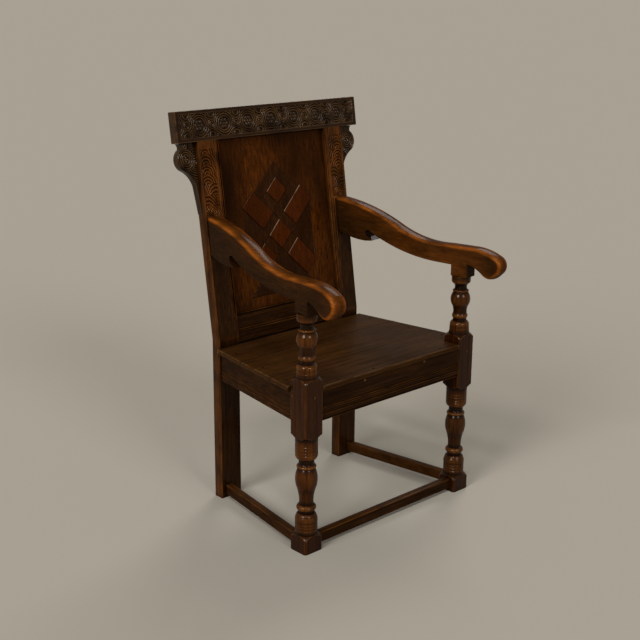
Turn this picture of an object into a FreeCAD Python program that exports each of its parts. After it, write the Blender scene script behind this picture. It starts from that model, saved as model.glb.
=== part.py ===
import FreeCAD, Part
import math
import os
from types import SimpleNamespace

import Sketcher

Vector = FreeCAD.Vector

# Driving sizes of the joined armchair, in millimetres, with angles in degrees.
# X runs across the chair, Y runs towards its back and Z runs up from the floor.
SIZES = {
    # main frame
    "seat_height": 410,
    "front_width": 580,
    "rear_width": 480,
    "frame_depth": 378,
    "post_size": 54,
    "stile_width": 63,
    "stile_depth": 30,
    "rake_angle": 8.5,
    "rake_height": 430,
    "back_length": 495,
    # joinery
    "fit_clearance": 0.2,
    "tenon_thickness": 9,
    "tenon_shoulder": 5,
    "rail_tenon": 36,
    "side_tenon": 20,
    "peg_radius": 3.5,
    "peg_proud": 1,
    # seat frame and boards
    "rail_height": 73,
    "rail_thickness": 24,
    "rail_setback": 3,
    "rail_peg_drop": 10,
    "board_thickness": 12,
    "board_nosing": 2,
    "board_overhang": 8,
    "board_gap": 0.4,
    "front_board_depth": 126,
    "middle_board_depth": 136,
    "seat_pin_radius": 3,
    "seat_pin_length": 34,
    # stretchers
    "stretcher_height": 27,
    "stretcher_thickness": 20,
    "stretcher_lift": 9,
    "stretcher_setback": 14,
    "stretcher_inset": 12,
    "stretcher_tenon": 24,
    "stretcher_side_tenon": 16,
    # turned front posts
    "foot_block_height": 44,
    "seat_block_height": 147,
    "seat_block_rise": 22,
    "block_shoulder": 9,
    "post_core": 14,
    "drum_radius": 26.5,
    "foot_drum_height": 42,
    "foot_drum_round": 12,
    "neck_radius": 17,
    "foot_neck_height": 6,
    "ring_height": 13,
    "ring_bulge": 5.8,
    "vase_neck_height": 14,
    "vase_foot_height": 29,
    "vase_belly_height": 52,
    "vase_foot_radius": 22,
    "vase_belly_bulge": 6,
    "collar_radius": 20,
    "collar_height": 11,
    "collar_bulge": 3,
    "top_neck_height": 7,
    "cup_height": 11,
    "cup_bulge": 3,
    "top_drum_height": 44,
    "arm_rest_height": 583,
    "rest_drum_height": 20,
    "rest_drum_taper": 2,
    "rest_drum_round": 14,
    "rest_neck_height": 5,
    "bead_height": 12,
    "bead_bulge": 2.7,
    "bulb_neck_height": 10,
    "bulb_foot_height": 17,
    "bulb_belly_height": 45,
    "bulb_foot_radius": 21,
    "bulb_belly_bulge": 5.5,
    "cap_radius": 24.5,
    "cap_height": 11,
    "cap_cup_height": 10,
    "cap_neck_height": 7,
    "post_pin_radius": 11,
    "post_pin_length": 30,
    # scroll arms, heights above the top of the post and reaches from its axis
    "arm_thickness": 40,
    "arm_rear_spacing": 434,
    "arm_rear_top": 153,
    "arm_rear_bottom": 65,
    "arm_crest_bulge": 9.3,
    "arm_bend_reach": 195,
    "arm_bend_top": 102,
    "arm_dip_bulge": 10.3,
    "arm_dip_reach": 35,
    "arm_dip_top": 77,
    "arm_flat_reach": 40,
    "arm_flat_top": 79,
    "scroll_top_bulge": 3.7,
    "scroll_shoulder_reach": 106,
    "scroll_shoulder_top": 65,
    "scroll_front_bulge": 14.3,
    "scroll_heel_reach": 112,
    "scroll_heel_top": 19,
    "scroll_bottom_bulge": 12,
    "scroll_back_reach": 66,
    "scroll_hollow_top": 35,
    "scroll_hollow_bulge": 4,
    "boss_front": 27,
    "boss_rear": 20,
    "boss_height": 28,
    "under_flat_reach": 64,
    "under_bulge": 11.7,
    "nick_from_stile": 114,
    "nick_top": 74,
    "nick_width": 13,
    "nick_drop": 16,
    "nick_depth": 14,
    "spur_from_stile": 117,
    "spur_top": 51,
    "tab_from_stile": 94,
    "tab_top": 48,
    "tab_bulge": 5,
    "arm_tenon_height": 56,
    "arm_tenon_thickness": 16,
    # back
    "crest_height": 76,
    "crest_length": 598,
    "crest_thickness": 28,
    "stile_tenon_width": 36,
    "stile_tenon_length": 40,
    "panel_thickness": 10,
    "panel_setback": 11,
    "groove_depth": 9,
    "panel_slack": 0.8,
    "lower_rail_height": 72,
    "lower_rail_drop": 15,
    "lower_rail_thickness": 22,
    "lower_rail_setback": 3,
    # scroll brackets beside the stiles, sizes down from the crest and out from the stile
    "bracket_setback": 12,
    "bracket_top": 50,
    "bracket_neck": 43,
    "bracket_neck_drop": 15,
    "bracket_neck_bulge": 3,
    "volute_drop": 66,
    "volute_bulge": 14,
    "bracket_waist": 9,
    "bracket_waist_drop": 108,
    "bracket_sweep_bulge": 6,
    "bracket_drop": 178,
    "bracket_pin_radius": 2,
    "bracket_pin_length": 24,
    # lozenge marquetry on the panel, measured along its slanting straps
    "lozenge_height": 238,
    "strap_width": 53,
    "strap_gap": 26,
    "strap_length": 87,
    "diamond_side": 106,
    "diamond_heart": 47,
    "side_point_reach": 113,
    "foot_point_reach": 152,
    "light_relief": 3.5,
    "dark_relief": 1.5,
}


class Size:
    """A number together with the formula that ties it to the sheet."""

    def __init__(self, value, formula):
        self.value = float(value)
        self.formula = formula

    def __add__(self, other):
        other = as_size(other)
        return Size(self.value + other.value, f"({self.formula} + {other.formula})")

    def __sub__(self, other):
        other = as_size(other)
        return Size(self.value - other.value, f"({self.formula} - {other.formula})")

    def __mul__(self, other):
        other = as_size(other)
        return Size(self.value * other.value, f"({self.formula} * {other.formula})")

    def __truediv__(self, other):
        other = as_size(other)
        return Size(self.value / other.value, f"({self.formula} / {other.formula})")

    def __rsub__(self, other):
        return as_size(other) - self

    def __neg__(self):
        return self * -1

    __radd__ = __add__
    __rmul__ = __mul__


def as_size(number):
    if isinstance(number, Size):
        return number
    return Size(number, f"({float(number)})")


def sine(angle):
    return Size(math.sin(math.radians(angle.value)), f"sin({angle.formula})")


def cosine(angle):
    return Size(math.cos(math.radians(angle.value)), f"cos({angle.formula})")


def tangent(angle):
    return Size(math.tan(math.radians(angle.value)), f"tan({angle.formula})")


def slope_angle(rise, run):
    ratio = rise / run
    return Size(math.degrees(math.atan(ratio.value)), f"atan({ratio.formula})")


def make_sheet():
    sheet = doc.addObject("Spreadsheet::Sheet", "Sizes")
    for row, (name, number) in enumerate(SIZES.items(), 1):
        sheet.set(f"A{row}", name)
        sheet.set(f"B{row}", str(number))
        sheet.setAlias(f"B{row}", name)
    doc.recompute()
    return SimpleNamespace(**{name: Size(number, f"Sizes.{name}") for name, number in SIZES.items()})


def bind(item, prop, size):
    item.setExpression(prop, as_size(size).formula)


def place(item, x, y, z):
    for axis, size in zip("xyz", (x, y, z)):
        bind(item, f"Placement.Base.{axis}", size)


def block(x, y, z, length, width, height):
    """A box given by its lowest corner and its sides along X, Y and Z."""
    item = doc.addObject("Part::Box", "Block")
    for prop, size in (("Length", length), ("Width", width), ("Height", height)):
        bind(item, prop, size)
    place(item, x, y, z)
    return item


def rod(turn_axis, angle, x, y, z, radius, length):
    """A round bar that starts at a point, turned from the upright about one axis."""
    item = doc.addObject("Part::Cylinder", "Rod")
    item.Placement = FreeCAD.Placement(Vector(), FreeCAD.Rotation(turn_axis, angle))
    bind(item, "Radius", radius)
    bind(item, "Height", length)
    place(item, x, y, z)
    return item


def rod_back(x, y, z, radius, length):
    return rod(Vector(1, 0, 0), -90, x, y, z, radius, length)


def rod_across(side, x, y, z, radius, length):
    """A round bar that runs from a side face in towards the middle of the chair."""
    return rod(Vector(0, 1, 0), -90 * side, x, y, z, radius, length)


def rod_up(x, y, z, radius, length):
    return rod(Vector(0, 0, 1), 0, x, y, z, radius, length)


def group(items):
    item = doc.addObject("Part::Compound", "Group")
    item.Links = items
    return item


def fuse(items):
    item = doc.addObject("Part::MultiFuse", "Joined")
    item.Shapes = items
    return item


def cut(item, tools):
    for tool in tools:
        trimmed = doc.addObject("Part::Cut", "Trimmed")
        trimmed.Base = item
        trimmed.Tool = tool
        item = trimmed
    return item


def rake(item):
    """Stand a piece drawn on an upright back on the sloping back of the chair."""
    item.Placement = FreeCAD.Placement(Vector(), FreeCAD.Rotation(Vector(1, 0, 0), -d.rake_angle.value))
    bind(item, "Placement.Rotation.Angle", -d.rake_angle)
    place(item, 0, stile_front, d.rake_height)
    return item


def raked(items):
    return rake(group(items))


def new_body(name):
    return doc.addObject("PartDesign::Body", name)


def new_sketch(body, role, offset=0):
    """A sketch on one of the body's own planes, moved along the plane's normal."""
    plane = next(item for item in body.Origin.OriginFeatures if item.Role == role)
    sketch = body.newObject("Sketcher::SketchObject", "Outline")
    sketch.AttachmentSupport = (plane, [""])
    sketch.MapMode = "FlatFace"
    bind(sketch, "AttachmentOffset.Base.z", offset)
    return sketch


def outline(sketch, pieces):
    """Draw a closed outline. Each piece is its end point and how far it bulges to the right of its way."""
    ends = [(as_size(piece[0]), as_size(piece[1])) for piece in pieces]
    marks = []
    for number, piece in enumerate(pieces):
        start = ends[number - 1]
        end = ends[number]
        if len(piece) == 2:
            line = Part.LineSegment(point(start), point(end))
            marks.append((sketch.addGeometry(line), 1, 2))
        else:
            marks.append(draw_arc(sketch, start, end, as_size(piece[2])))
    for number, (index, _, finish) in enumerate(marks):
        following, entry, _ = marks[(number + 1) % len(marks)]
        sketch.addConstraint(Sketcher.Constraint("Coincident", index, finish, following, entry))
        for kind, size in zip(("DistanceX", "DistanceY"), ends[number]):
            limit = sketch.addConstraint(Sketcher.Constraint(kind, index, finish, size.value))
            bind(sketch, f"Constraints[{limit}]", size)
    return sketch


def point(place_in_sketch):
    across, up = place_in_sketch
    return Vector(across.value, up.value, 0)


def draw_arc(sketch, start, end, bulge):
    """Add an arc between two points, with its radius tied to its chord and bulge."""
    across = end[0] - start[0]
    up = end[1] - start[1]
    chord_squared = across * across + up * up
    radius = (chord_squared / 4 + bulge * bulge) / (bulge * 2)
    chord = math.sqrt(chord_squared.value)
    middle = (point(start) + point(end)) * 0.5
    right = Vector(up.value, -across.value, 0) / chord
    crown = middle + right * bulge.value
    arc = Part.Arc(point(start), crown, point(end)).toShape().Curve
    centre = arc.Center
    turns_left = bulge.value > 0
    low, high = (start, end) if turns_left else (end, start)
    spans = [math.atan2(p.y - centre.y, p.x - centre.x) for p in (point(low), point(high))]
    circle = Part.Circle(centre, Vector(0, 0, 1), abs(radius.value))
    index = sketch.addGeometry(Part.ArcOfCircle(circle, spans[0], spans[1]))
    limit = sketch.addConstraint(Sketcher.Constraint("Radius", index, abs(radius.value)))
    bind(sketch, f"Constraints[{limit}]", radius if turns_left else -radius)
    return (index, 1, 2) if turns_left else (index, 2, 1)


def pad(body, sketch, length, backwards=False):
    feature = body.newObject("PartDesign::Pad", "Pad")
    feature.Profile = sketch
    bind(feature, "Length", length)
    feature.Reversed = backwards
    return feature


def turn(body, kind, sketch):
    """Revolve a profile about the upright axis of its body."""
    feature = body.newObject(kind, "Turning")
    feature.Profile = sketch
    feature.ReferenceAxis = (sketch, ["V_Axis"])
    feature.Angle = 360
    return feature


def keep(item, label):
    item.Label = label
    parts.append(item)
    return item


def side_name(side):
    return "left" if side < 0 else "right"


def stack(low, high, members):
    """Levels between turned members, with the whole pattern stretched to fill the room from low to high."""
    stretch = (high - low) / sum(members)
    levels = [low]
    for member in members:
        levels.append(levels[-1] + member * stretch)
    return levels[1:-1], stretch


def turned_profile():
    """Outline of the turned post from the floor to the top of its pin, as radius and height."""
    foot_levels, foot_stretch = stack(d.foot_block_height, block_bottom, [
        d.foot_drum_height, d.foot_drum_round, d.foot_neck_height, d.ring_height, d.vase_neck_height,
        d.vase_foot_height, d.vase_belly_height, d.collar_height, d.top_neck_height, d.cup_height,
        d.top_drum_height])
    drum_top, neck_low, ring_low, ring_high, vase_low, vase_waist = foot_levels[:6]
    collar_low, collar_high, cup_low, top_drum_low = foot_levels[6:]
    rest_levels, rest_stretch = stack(block_top, d.arm_rest_height, [
        d.rest_drum_height, d.rest_drum_round, d.rest_neck_height, d.bead_height, d.bulb_neck_height,
        d.bulb_foot_height, d.bulb_belly_height, d.cap_neck_height, d.cap_cup_height, d.cap_height])
    rest_drum_top, rest_neck, bead_low, bead_high, bulb_low, bulb_waist = rest_levels[:6]
    cap_neck_low, cap_neck_high, cap_low = rest_levels[6:]
    vase_swell = d.vase_foot_radius - d.neck_radius
    bulb_swell = d.bulb_foot_radius - d.neck_radius
    pin_top = d.arm_rest_height + d.post_pin_length
    return [
        (0, 0),
        (d.post_core, 0),
        (d.post_core, d.foot_block_height - d.block_shoulder),
        (d.drum_radius, d.foot_block_height - d.block_shoulder),
        (d.drum_radius, drum_top),
        (d.neck_radius, neck_low, d.cup_bulge * foot_stretch),
        (d.neck_radius, ring_low),
        (d.neck_radius, ring_high, d.ring_bulge * foot_stretch),
        (d.neck_radius, vase_low),
        (d.vase_foot_radius, vase_waist, -vase_swell * foot_stretch / 4),
        (d.collar_radius, collar_low, d.vase_belly_bulge * foot_stretch),
        (d.collar_radius, collar_high, d.collar_bulge * foot_stretch),
        (d.neck_radius, cup_low),
        (d.drum_radius, top_drum_low, d.cup_bulge * foot_stretch),
        (d.drum_radius, block_bottom + d.block_shoulder),
        (d.post_core, block_bottom + d.block_shoulder),
        (d.post_core, block_top - d.block_shoulder),
        (d.drum_radius, block_top - d.block_shoulder),
        (d.drum_radius, block_top),
        (d.drum_radius - d.rest_drum_taper, rest_drum_top),
        (d.neck_radius, rest_neck, d.cup_bulge * rest_stretch),
        (d.neck_radius, bead_low),
        (d.neck_radius, bead_high, d.bead_bulge * rest_stretch),
        (d.neck_radius, bulb_low),
        (d.bulb_foot_radius, bulb_waist, -bulb_swell * rest_stretch / 4),
        (d.neck_radius, cap_neck_low, d.bulb_belly_bulge * rest_stretch),
        (d.neck_radius, cap_neck_high),
        (d.cap_radius, cap_low, d.cup_bulge * rest_stretch),
        (d.cap_radius, d.arm_rest_height),
        (d.post_pin_radius, d.arm_rest_height),
        (d.post_pin_radius, pin_top),
        (0, pin_top),
    ]


def square_block(body, low, high):
    half = d.post_size / 2
    sketch = new_sketch(body, "XY_Plane", low)
    outline(sketch, [(-half, -half), (half, -half), (half, half), (-half, half)])
    pad(body, sketch, high - low)


def front_post(side):
    """A square post turned below and above the seat, with a round pin for the arm."""
    body = new_body("PostBlank")
    turn(body, "PartDesign::Revolution", outline(new_sketch(body, "XZ_Plane"), turned_profile()))
    square_block(body, as_size(0), d.foot_block_height)
    square_block(body, block_bottom, block_top)
    shoulders = new_sketch(body, "XZ_Plane")
    corner = d.post_size * CORNER_REACH
    for end, inward in ((d.foot_block_height, -1), (block_bottom, 1), (block_top, -1)):
        outline(shoulders, [
            (d.drum_radius, end),
            (corner, end),
            (corner, end + d.block_shoulder * inward)])
    turn(body, "PartDesign::Groove", shoulders)
    place(body, post_x * side, post_y, 0)
    tools = [
        front_rail_tenon(side, d.fit_clearance),
        side_rail_tenon(side, "front", d.fit_clearance),
        front_stretcher_tenon(side, d.fit_clearance),
        side_stretcher_tenon(side, "front", d.fit_clearance),
        front_peg(side, d.fit_clearance),
        side_peg(side, "front", d.fit_clearance),
        arm_pin_peg(side, d.fit_clearance),
    ]
    keep(cut(body, tools), f"front_post_{side_name(side)}")


def tenon_along_x(side, face, reach, y_middle, low, high, thickness, spare):
    """A tenon that enters a post or stile from its inner face, with spare room when it is a mortise."""
    inner = face * side
    outer = (face + reach + spare) * side
    start = inner if side > 0 else outer
    return block(start, y_middle - thickness / 2 - spare, low - spare,
                 reach + spare, thickness + spare * 2, high - low + spare * 2)


def tenon_along_y(x_middle, face, reach, forward, low, high, thickness, spare):
    """A tenon that enters the back of a post or the front of a stile."""
    start = face - reach - spare if forward else face
    return block(x_middle - thickness / 2 - spare, start, low - spare,
                 thickness + spare * 2, reach + spare, high - low + spare * 2)


def front_rail_tenon(side, spare=as_size(0)):
    return tenon_along_x(side, post_inner, d.rail_tenon, front_rail_y + d.rail_thickness / 2,
                         rail_bottom + d.tenon_shoulder, rail_top - d.tenon_shoulder,
                         d.tenon_thickness, spare)


def rear_rail_tenon(side, spare=as_size(0)):
    return tenon_along_x(side, stile_inner, d.rail_tenon, rear_rail_y + d.rail_thickness / 2,
                         rail_bottom + d.tenon_shoulder, rail_top - d.tenon_shoulder,
                         d.tenon_thickness, spare)


def side_rail_tenon(side, end, spare=as_size(0)):
    outer = half_front if end == "front" else half_rear
    face = post_rear if end == "front" else stile_front
    middle = outer - d.rail_setback - d.rail_thickness / 2
    return tenon_along_y(middle * side, face, d.side_tenon, end == "front",
                         rail_bottom + d.tenon_shoulder, rail_top - d.tenon_shoulder,
                         d.tenon_thickness, spare)


def front_stretcher_tenon(side, spare=as_size(0)):
    return tenon_along_x(side, post_inner, d.stretcher_tenon, front_stretcher_y + d.stretcher_thickness / 2,
                         d.stretcher_lift + d.tenon_shoulder, stretcher_top - d.tenon_shoulder,
                         d.tenon_thickness, spare)


def side_stretcher_tenon(side, end, spare=as_size(0)):
    outer = half_front if end == "front" else half_rear
    face = post_rear if end == "front" else stile_front
    middle = outer - d.stretcher_inset - d.stretcher_thickness / 2
    return tenon_along_y(middle * side, face, d.stretcher_side_tenon, end == "front",
                         d.stretcher_lift + d.tenon_shoulder, stretcher_top - d.tenon_shoulder,
                         d.tenon_thickness, spare)


def front_peg(side, spare=as_size(0)):
    """The peg through the front of the post into the front rail's tenon."""
    return rod_back(post_x * side, post_front - d.peg_proud, rail_top - d.rail_peg_drop,
                    d.peg_radius + spare, d.peg_proud + d.post_size / 2 + spare)


def side_peg(side, end, spare=as_size(0)):
    """The peg through the outer face of the post or stile into the side rail's tenon."""
    outer = half_front if end == "front" else half_rear
    y = post_rear - d.side_tenon / 2 if end == "front" else stile_front + d.side_tenon / 2
    depth = d.rail_setback + d.rail_thickness
    return rod_across(side, (outer + d.peg_proud) * side, y, rail_top - d.rail_peg_drop,
                      d.peg_radius + spare, d.peg_proud + depth + spare)


def arm_pin_peg(side, spare=as_size(0)):
    """The peg through the inner face of the arm into the pin on top of the post."""
    start = post_x - d.arm_thickness / 2 - d.peg_proud
    return rod_across(-side, start * side, post_y, d.arm_rest_height + d.post_pin_length / 2,
                      d.peg_radius + spare, d.peg_proud + d.arm_thickness / 2 + d.post_pin_radius / 2 + spare)


def bracket_pin(side, spare=as_size(0)):
    """The pin through the slender foot of the bracket into the stile, drawn on the upright back."""
    start = half_rear + d.bracket_waist / 2 + d.peg_proud
    middle = (d.bracket_setback + d.stile_depth) / 2
    drop = (d.bracket_waist_drop + d.bracket_drop) / 2
    return rod_across(side, start * side, middle, d.back_length - drop, d.bracket_pin_radius + spare,
                      d.bracket_pin_length + spare)


def arm_tenon(side, spare=as_size(0)):
    """The arm's tenon, drawn on the upright back."""
    return block(d.arm_rear_spacing / 2 * side - d.arm_tenon_thickness / 2 - spare, as_size(0) - spare,
                 arm_tenon_low - spare, d.arm_tenon_thickness + spare * 2, d.side_tenon + spare * 2,
                 d.arm_tenon_height + spare * 2)


def lower_rail_tenon(side, spare=as_size(0)):
    low = d.tenon_shoulder - d.lower_rail_drop
    high = lower_rail_top - d.groove_depth - d.tenon_shoulder
    middle = d.lower_rail_setback + d.lower_rail_thickness / 2
    return tenon_along_x(side, stile_inner, d.rail_tenon, middle, low, high, d.tenon_thickness, spare)


def stile_tenon(side, spare=as_size(0)):
    """The tenon on top of the stile that enters the crest rail."""
    middle = (half_rear - d.stile_width / 2) * side
    return block(middle - d.stile_tenon_width / 2 - spare, (d.crest_thickness - d.tenon_thickness) / 2 - spare,
                 d.back_length, d.stile_tenon_width + spare * 2, d.tenon_thickness + spare * 2,
                 d.stile_tenon_length + spare)


def panel_groove(x, z, length, height):
    return block(x, d.panel_setback - d.fit_clearance, z, length,
                 d.panel_thickness + d.fit_clearance * 2, height)


def rear_stile(side):
    """A rear leg that runs up into the sloping back."""
    body = new_body("StileBlank")
    slope = sine(d.rake_angle)
    upright = cosine(d.rake_angle)
    top_y = stile_front + d.back_length * slope
    top_z = d.rake_height + d.back_length * upright
    start_x = half_rear * side if side < 0 else half_rear - d.stile_width
    sketch = new_sketch(body, "YZ_Plane", start_x)
    outline(sketch, [
        (stile_front, 0),
        (stile_front + d.stile_depth, 0),
        (stile_front + d.stile_depth, d.rake_height - d.stile_depth * tangent(d.rake_angle / 2)),
        (top_y + d.stile_depth * upright, top_z - d.stile_depth * slope),
        (top_y, top_z),
        (stile_front, d.rake_height)])
    pad(body, sketch, d.stile_width)
    groove_start = stile_inner if side > 0 else -stile_inner - d.groove_depth
    tools = [
        side_rail_tenon(side, "rear", d.fit_clearance),
        rear_rail_tenon(side, d.fit_clearance),
        side_stretcher_tenon(side, "rear", d.fit_clearance),
        side_peg(side, "rear", d.fit_clearance),
        raked([arm_tenon(side, d.fit_clearance)]),
        raked([lower_rail_tenon(side, d.fit_clearance)]),
        raked([bracket_pin(side, d.fit_clearance)]),
        raked([panel_groove(groove_start, panel_low, d.groove_depth, d.back_length - panel_low)]),
    ]
    whole = fuse([body, raked([stile_tenon(side)])])
    keep(cut(whole, tools), f"rear_stile_{side_name(side)}")


def cross_rail(label, half_span, y, thickness, bottom, height, tenons, pegs):
    """A straight rail between two uprights with a tenon at each end."""
    bar = block(-half_span, y, bottom, half_span * 2, thickness, height)
    keep(cut(fuse([bar] + tenons), pegs), label)


def straight_rails():
    cross_rail("front_seat_rail", post_inner, front_rail_y, d.rail_thickness, rail_bottom, d.rail_height,
               [front_rail_tenon(side) for side in SIDES],
               [front_peg(side, d.fit_clearance) for side in SIDES] + seat_pins_on_front(d.fit_clearance))
    cross_rail("rear_seat_rail", stile_inner, rear_rail_y, d.rail_thickness, rail_bottom, d.rail_height,
               [rear_rail_tenon(side) for side in SIDES], [])
    cross_rail("front_stretcher", post_inner, front_stretcher_y, d.stretcher_thickness, d.stretcher_lift,
               d.stretcher_height, [front_stretcher_tenon(side) for side in SIDES], [])


def splayed_bar(side, inset, thickness, bottom, height):
    """A bar from the back of a front post to the front of a stile, which stands nearer the middle."""
    body = new_body("SplayedBar")
    front = half_front - inset
    rear = half_rear - inset
    sketch = new_sketch(body, "XY_Plane", bottom)
    outline(sketch, [
        (front * side, post_rear),
        (rear * side, stile_front),
        ((rear - thickness) * side, stile_front),
        ((front - thickness) * side, post_rear)])
    pad(body, sketch, height)
    return body


def side_rail(side):
    bar = splayed_bar(side, d.rail_setback, d.rail_thickness, rail_bottom, d.rail_height)
    tenons = [side_rail_tenon(side, end) for end in ENDS]
    holes = [side_peg(side, end, d.fit_clearance) for end in ENDS] + seat_pins_on_side(side, d.fit_clearance)
    keep(cut(fuse([bar] + tenons), holes), f"side_seat_rail_{side_name(side)}")


def side_stretcher(side):
    bar = splayed_bar(side, d.stretcher_inset, d.stretcher_thickness, d.stretcher_lift, d.stretcher_height)
    tenons = [side_stretcher_tenon(side, end) for end in ENDS]
    keep(fuse([bar] + tenons), f"side_stretcher_{side_name(side)}")


def seat_side(y):
    """Half width of the seat at a depth, following the splay of the side rails."""
    return half_front + d.board_overhang - (y - post_rear) * splay_slope


def seat_board(label, ends, pins):
    """A board across the seat, given by the points of its right half from front to back."""
    body = new_body("BoardBlank")
    mirrored = [(-x, y) for x, y in reversed(ends)]
    sketch = new_sketch(body, "XY_Plane", rail_top)
    outline(sketch, ends + mirrored)
    pad(body, sketch, d.board_thickness)
    keep(cut(body, pins), label)


def seat_boards():
    notch_x = post_inner - d.fit_clearance
    notch_y = post_rear + d.fit_clearance
    rear_notch_x = stile_inner - d.fit_clearance
    rear_notch_y = stile_front - d.fit_clearance
    rear_edge = rear_rail_y + d.rail_thickness
    side_pins = [seat_pins_on_side(side, d.fit_clearance) for side in SIDES]
    board_pins = [[pins[number] for pins in side_pins] for number in range(len(board_middles))]
    seat_board("seat_board_front", [
        (notch_x, seat_front),
        (notch_x, notch_y),
        (seat_side(notch_y), notch_y),
        (seat_side(front_seam), front_seam)], board_pins[0] + seat_pins_on_front(d.fit_clearance))
    seat_board("seat_board_middle", [
        (seat_side(front_seam + d.board_gap), front_seam + d.board_gap),
        (seat_side(rear_seam), rear_seam)], board_pins[1])
    seat_board("seat_board_rear", [
        (seat_side(rear_seam + d.board_gap), rear_seam + d.board_gap),
        (seat_side(rear_notch_y), rear_notch_y),
        (rear_notch_x, rear_notch_y),
        (rear_notch_x, rear_edge)], board_pins[2])


def seat_pin(x, y, spare):
    return rod_up(x, y, d.seat_height - d.seat_pin_length - spare, d.seat_pin_radius + spare,
                  d.seat_pin_length + spare)


def seat_pins_on_side(side, spare=as_size(0)):
    """One pin for each board into a side rail."""
    inset = d.board_overhang + d.rail_setback + d.rail_thickness / 2
    return [seat_pin((seat_side(y) - inset) * side, y, spare) for y in board_middles]


def seat_pins_on_front(spare=as_size(0)):
    """Four pins through the front board into the front rail."""
    y = front_rail_y + d.rail_thickness / 2
    spacing = post_inner * 2 / FRONT_PIN_SPACES
    return [seat_pin(spacing * step, y, spare) for step in FRONT_PIN_STEPS]


def arm_outline():
    """Side view of the arm: distance behind the post's axis and height."""
    rest = d.arm_rest_height
    beyond = arm_length + d.stile_depth
    nick = arm_length - d.nick_from_stile
    return [
        (-d.boss_front, rest),
        (d.boss_rear, rest),
        (d.boss_rear, rest + d.boss_height),
        (d.under_flat_reach, rest + d.boss_height),
        (nick, rest + d.nick_top, d.under_bulge),
        (nick + d.nick_width, rest + d.nick_top - d.nick_drop, -d.nick_depth),
        (arm_length - d.spur_from_stile, rest + d.spur_top),
        (arm_length - d.tab_from_stile, rest + d.tab_top),
        (arm_length, rest + d.arm_rear_bottom, d.tab_bulge),
        (beyond, rest + d.arm_rear_bottom),
        (beyond, rest + d.arm_rear_top),
        (arm_length, rest + d.arm_rear_top),
        (d.arm_bend_reach, rest + d.arm_bend_top, d.arm_crest_bulge),
        (d.arm_dip_reach, rest + d.arm_dip_top, -d.arm_dip_bulge),
        (-d.arm_flat_reach, rest + d.arm_flat_top),
        (-d.scroll_shoulder_reach, rest + d.scroll_shoulder_top, d.scroll_top_bulge),
        (-d.scroll_heel_reach, rest + d.scroll_heel_top, d.scroll_front_bulge),
        (-d.scroll_back_reach, rest + d.scroll_heel_top, d.scroll_bottom_bulge),
        (-d.boss_front, rest + d.scroll_hollow_top, -d.scroll_hollow_bulge),
    ]


def scroll_arm(side):
    """A shaped arm that drops from the stile, sits on the post and ends in a scroll."""
    body = new_body("ArmBlank")
    sketch = outline(new_sketch(body, "YZ_Plane", -d.arm_thickness / 2), arm_outline())
    pad(body, sketch, d.arm_thickness)
    bind(body, "Placement.Rotation.Angle", arm_splay * side)
    place(body, post_x * side, post_y, 0)
    behind = block(-half_front, 0, 0, d.front_width, d.frame_depth, d.back_length)
    fitted = fuse([cut(body, [raked([behind])]), raked([arm_tenon(side)])])
    socket = rod_up(post_x * side, post_y, d.arm_rest_height, d.post_pin_radius + d.fit_clearance,
                    d.post_pin_length + d.fit_clearance)
    keep(cut(fitted, [socket, arm_pin_peg(side, d.fit_clearance)]), f"scroll_arm_{side_name(side)}")


def crest_rail():
    bar = block(-d.crest_length / 2, 0, d.back_length, d.crest_length, d.crest_thickness, d.crest_height)
    groove_end = stile_inner + d.groove_depth
    groove = panel_groove(-groove_end, d.back_length, groove_end * 2, d.groove_depth)
    mortises = [stile_tenon(side, d.fit_clearance) for side in SIDES]
    keep(rake(cut(bar, mortises + [groove])), "crest_rail")


def lower_back_rail():
    bar = block(-stile_inner, d.lower_rail_setback, -d.lower_rail_drop, stile_inner * 2,
                d.lower_rail_thickness, d.lower_rail_height)
    groove = panel_groove(-stile_inner, lower_rail_top - d.groove_depth, stile_inner * 2, d.groove_depth)
    whole = fuse([bar] + [lower_rail_tenon(side) for side in SIDES])
    keep(rake(cut(whole, [groove])), "lower_back_rail")


def back_panel():
    half = stile_inner + d.groove_depth - d.panel_slack
    top = d.back_length + d.groove_depth - d.panel_slack
    board = block(-half, d.panel_setback, panel_low, half * 2, d.panel_thickness, top - panel_low)
    keep(rake(group([board])), "back_panel")


def scroll_bracket(side):
    """The carved wing that fills the corner between a stile and the crest rail."""
    body = new_body("BracketBlank")
    sketch = new_sketch(body, "XZ_Plane", -d.bracket_setback)
    top = d.back_length
    shape = [
        (half_rear, top - d.bracket_drop),
        (half_rear + d.bracket_waist, top - d.bracket_waist_drop),
        (half_rear + d.bracket_neck, top - d.volute_drop, -d.bracket_sweep_bulge),
        (half_rear + d.bracket_neck, top - d.bracket_neck_drop, d.volute_bulge),
        (half_rear + d.bracket_top, top, -d.bracket_neck_bulge),
        (half_rear, top),
    ]
    outline(sketch, [mirror_piece(piece, side) for piece in shape])
    pad(body, sketch, d.stile_depth - d.bracket_setback, backwards=True)
    keep(rake(cut(body, [bracket_pin(side, d.fit_clearance)])), f"scroll_bracket_{side_name(side)}")


def mirror_piece(piece, side):
    across, up = piece[:2]
    return (across * side, up) + tuple(bulge * side for bulge in piece[2:])


def lattice(items):
    """Set pieces drawn along the straps onto the panel, turned to lie on the slant."""
    slanted = group(items)
    slanted.Placement = FreeCAD.Placement(Vector(), FreeCAD.Rotation(Vector(0, 1, 0), SLANT))
    place(slanted, 0, d.panel_setback, d.lozenge_height)
    return raked([slanted])


def tile(low_down, low_up, length_down, length_up, relief):
    """A flat tile whose sides run down and up along the straps."""
    return block(low_down, -relief, low_up, length_down, relief, length_up)


def strap_tiles(start, length, relief):
    """Four equal tiles on the arms of the cross of straps."""
    half = d.strap_width / 2
    width = d.strap_width
    return [
        tile(-half, start, width, length, relief),
        tile(-half, -start - length, width, length, relief),
        tile(start, -half, length, width, relief),
        tile(-start - length, -half, length, width, relief),
    ]


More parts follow.
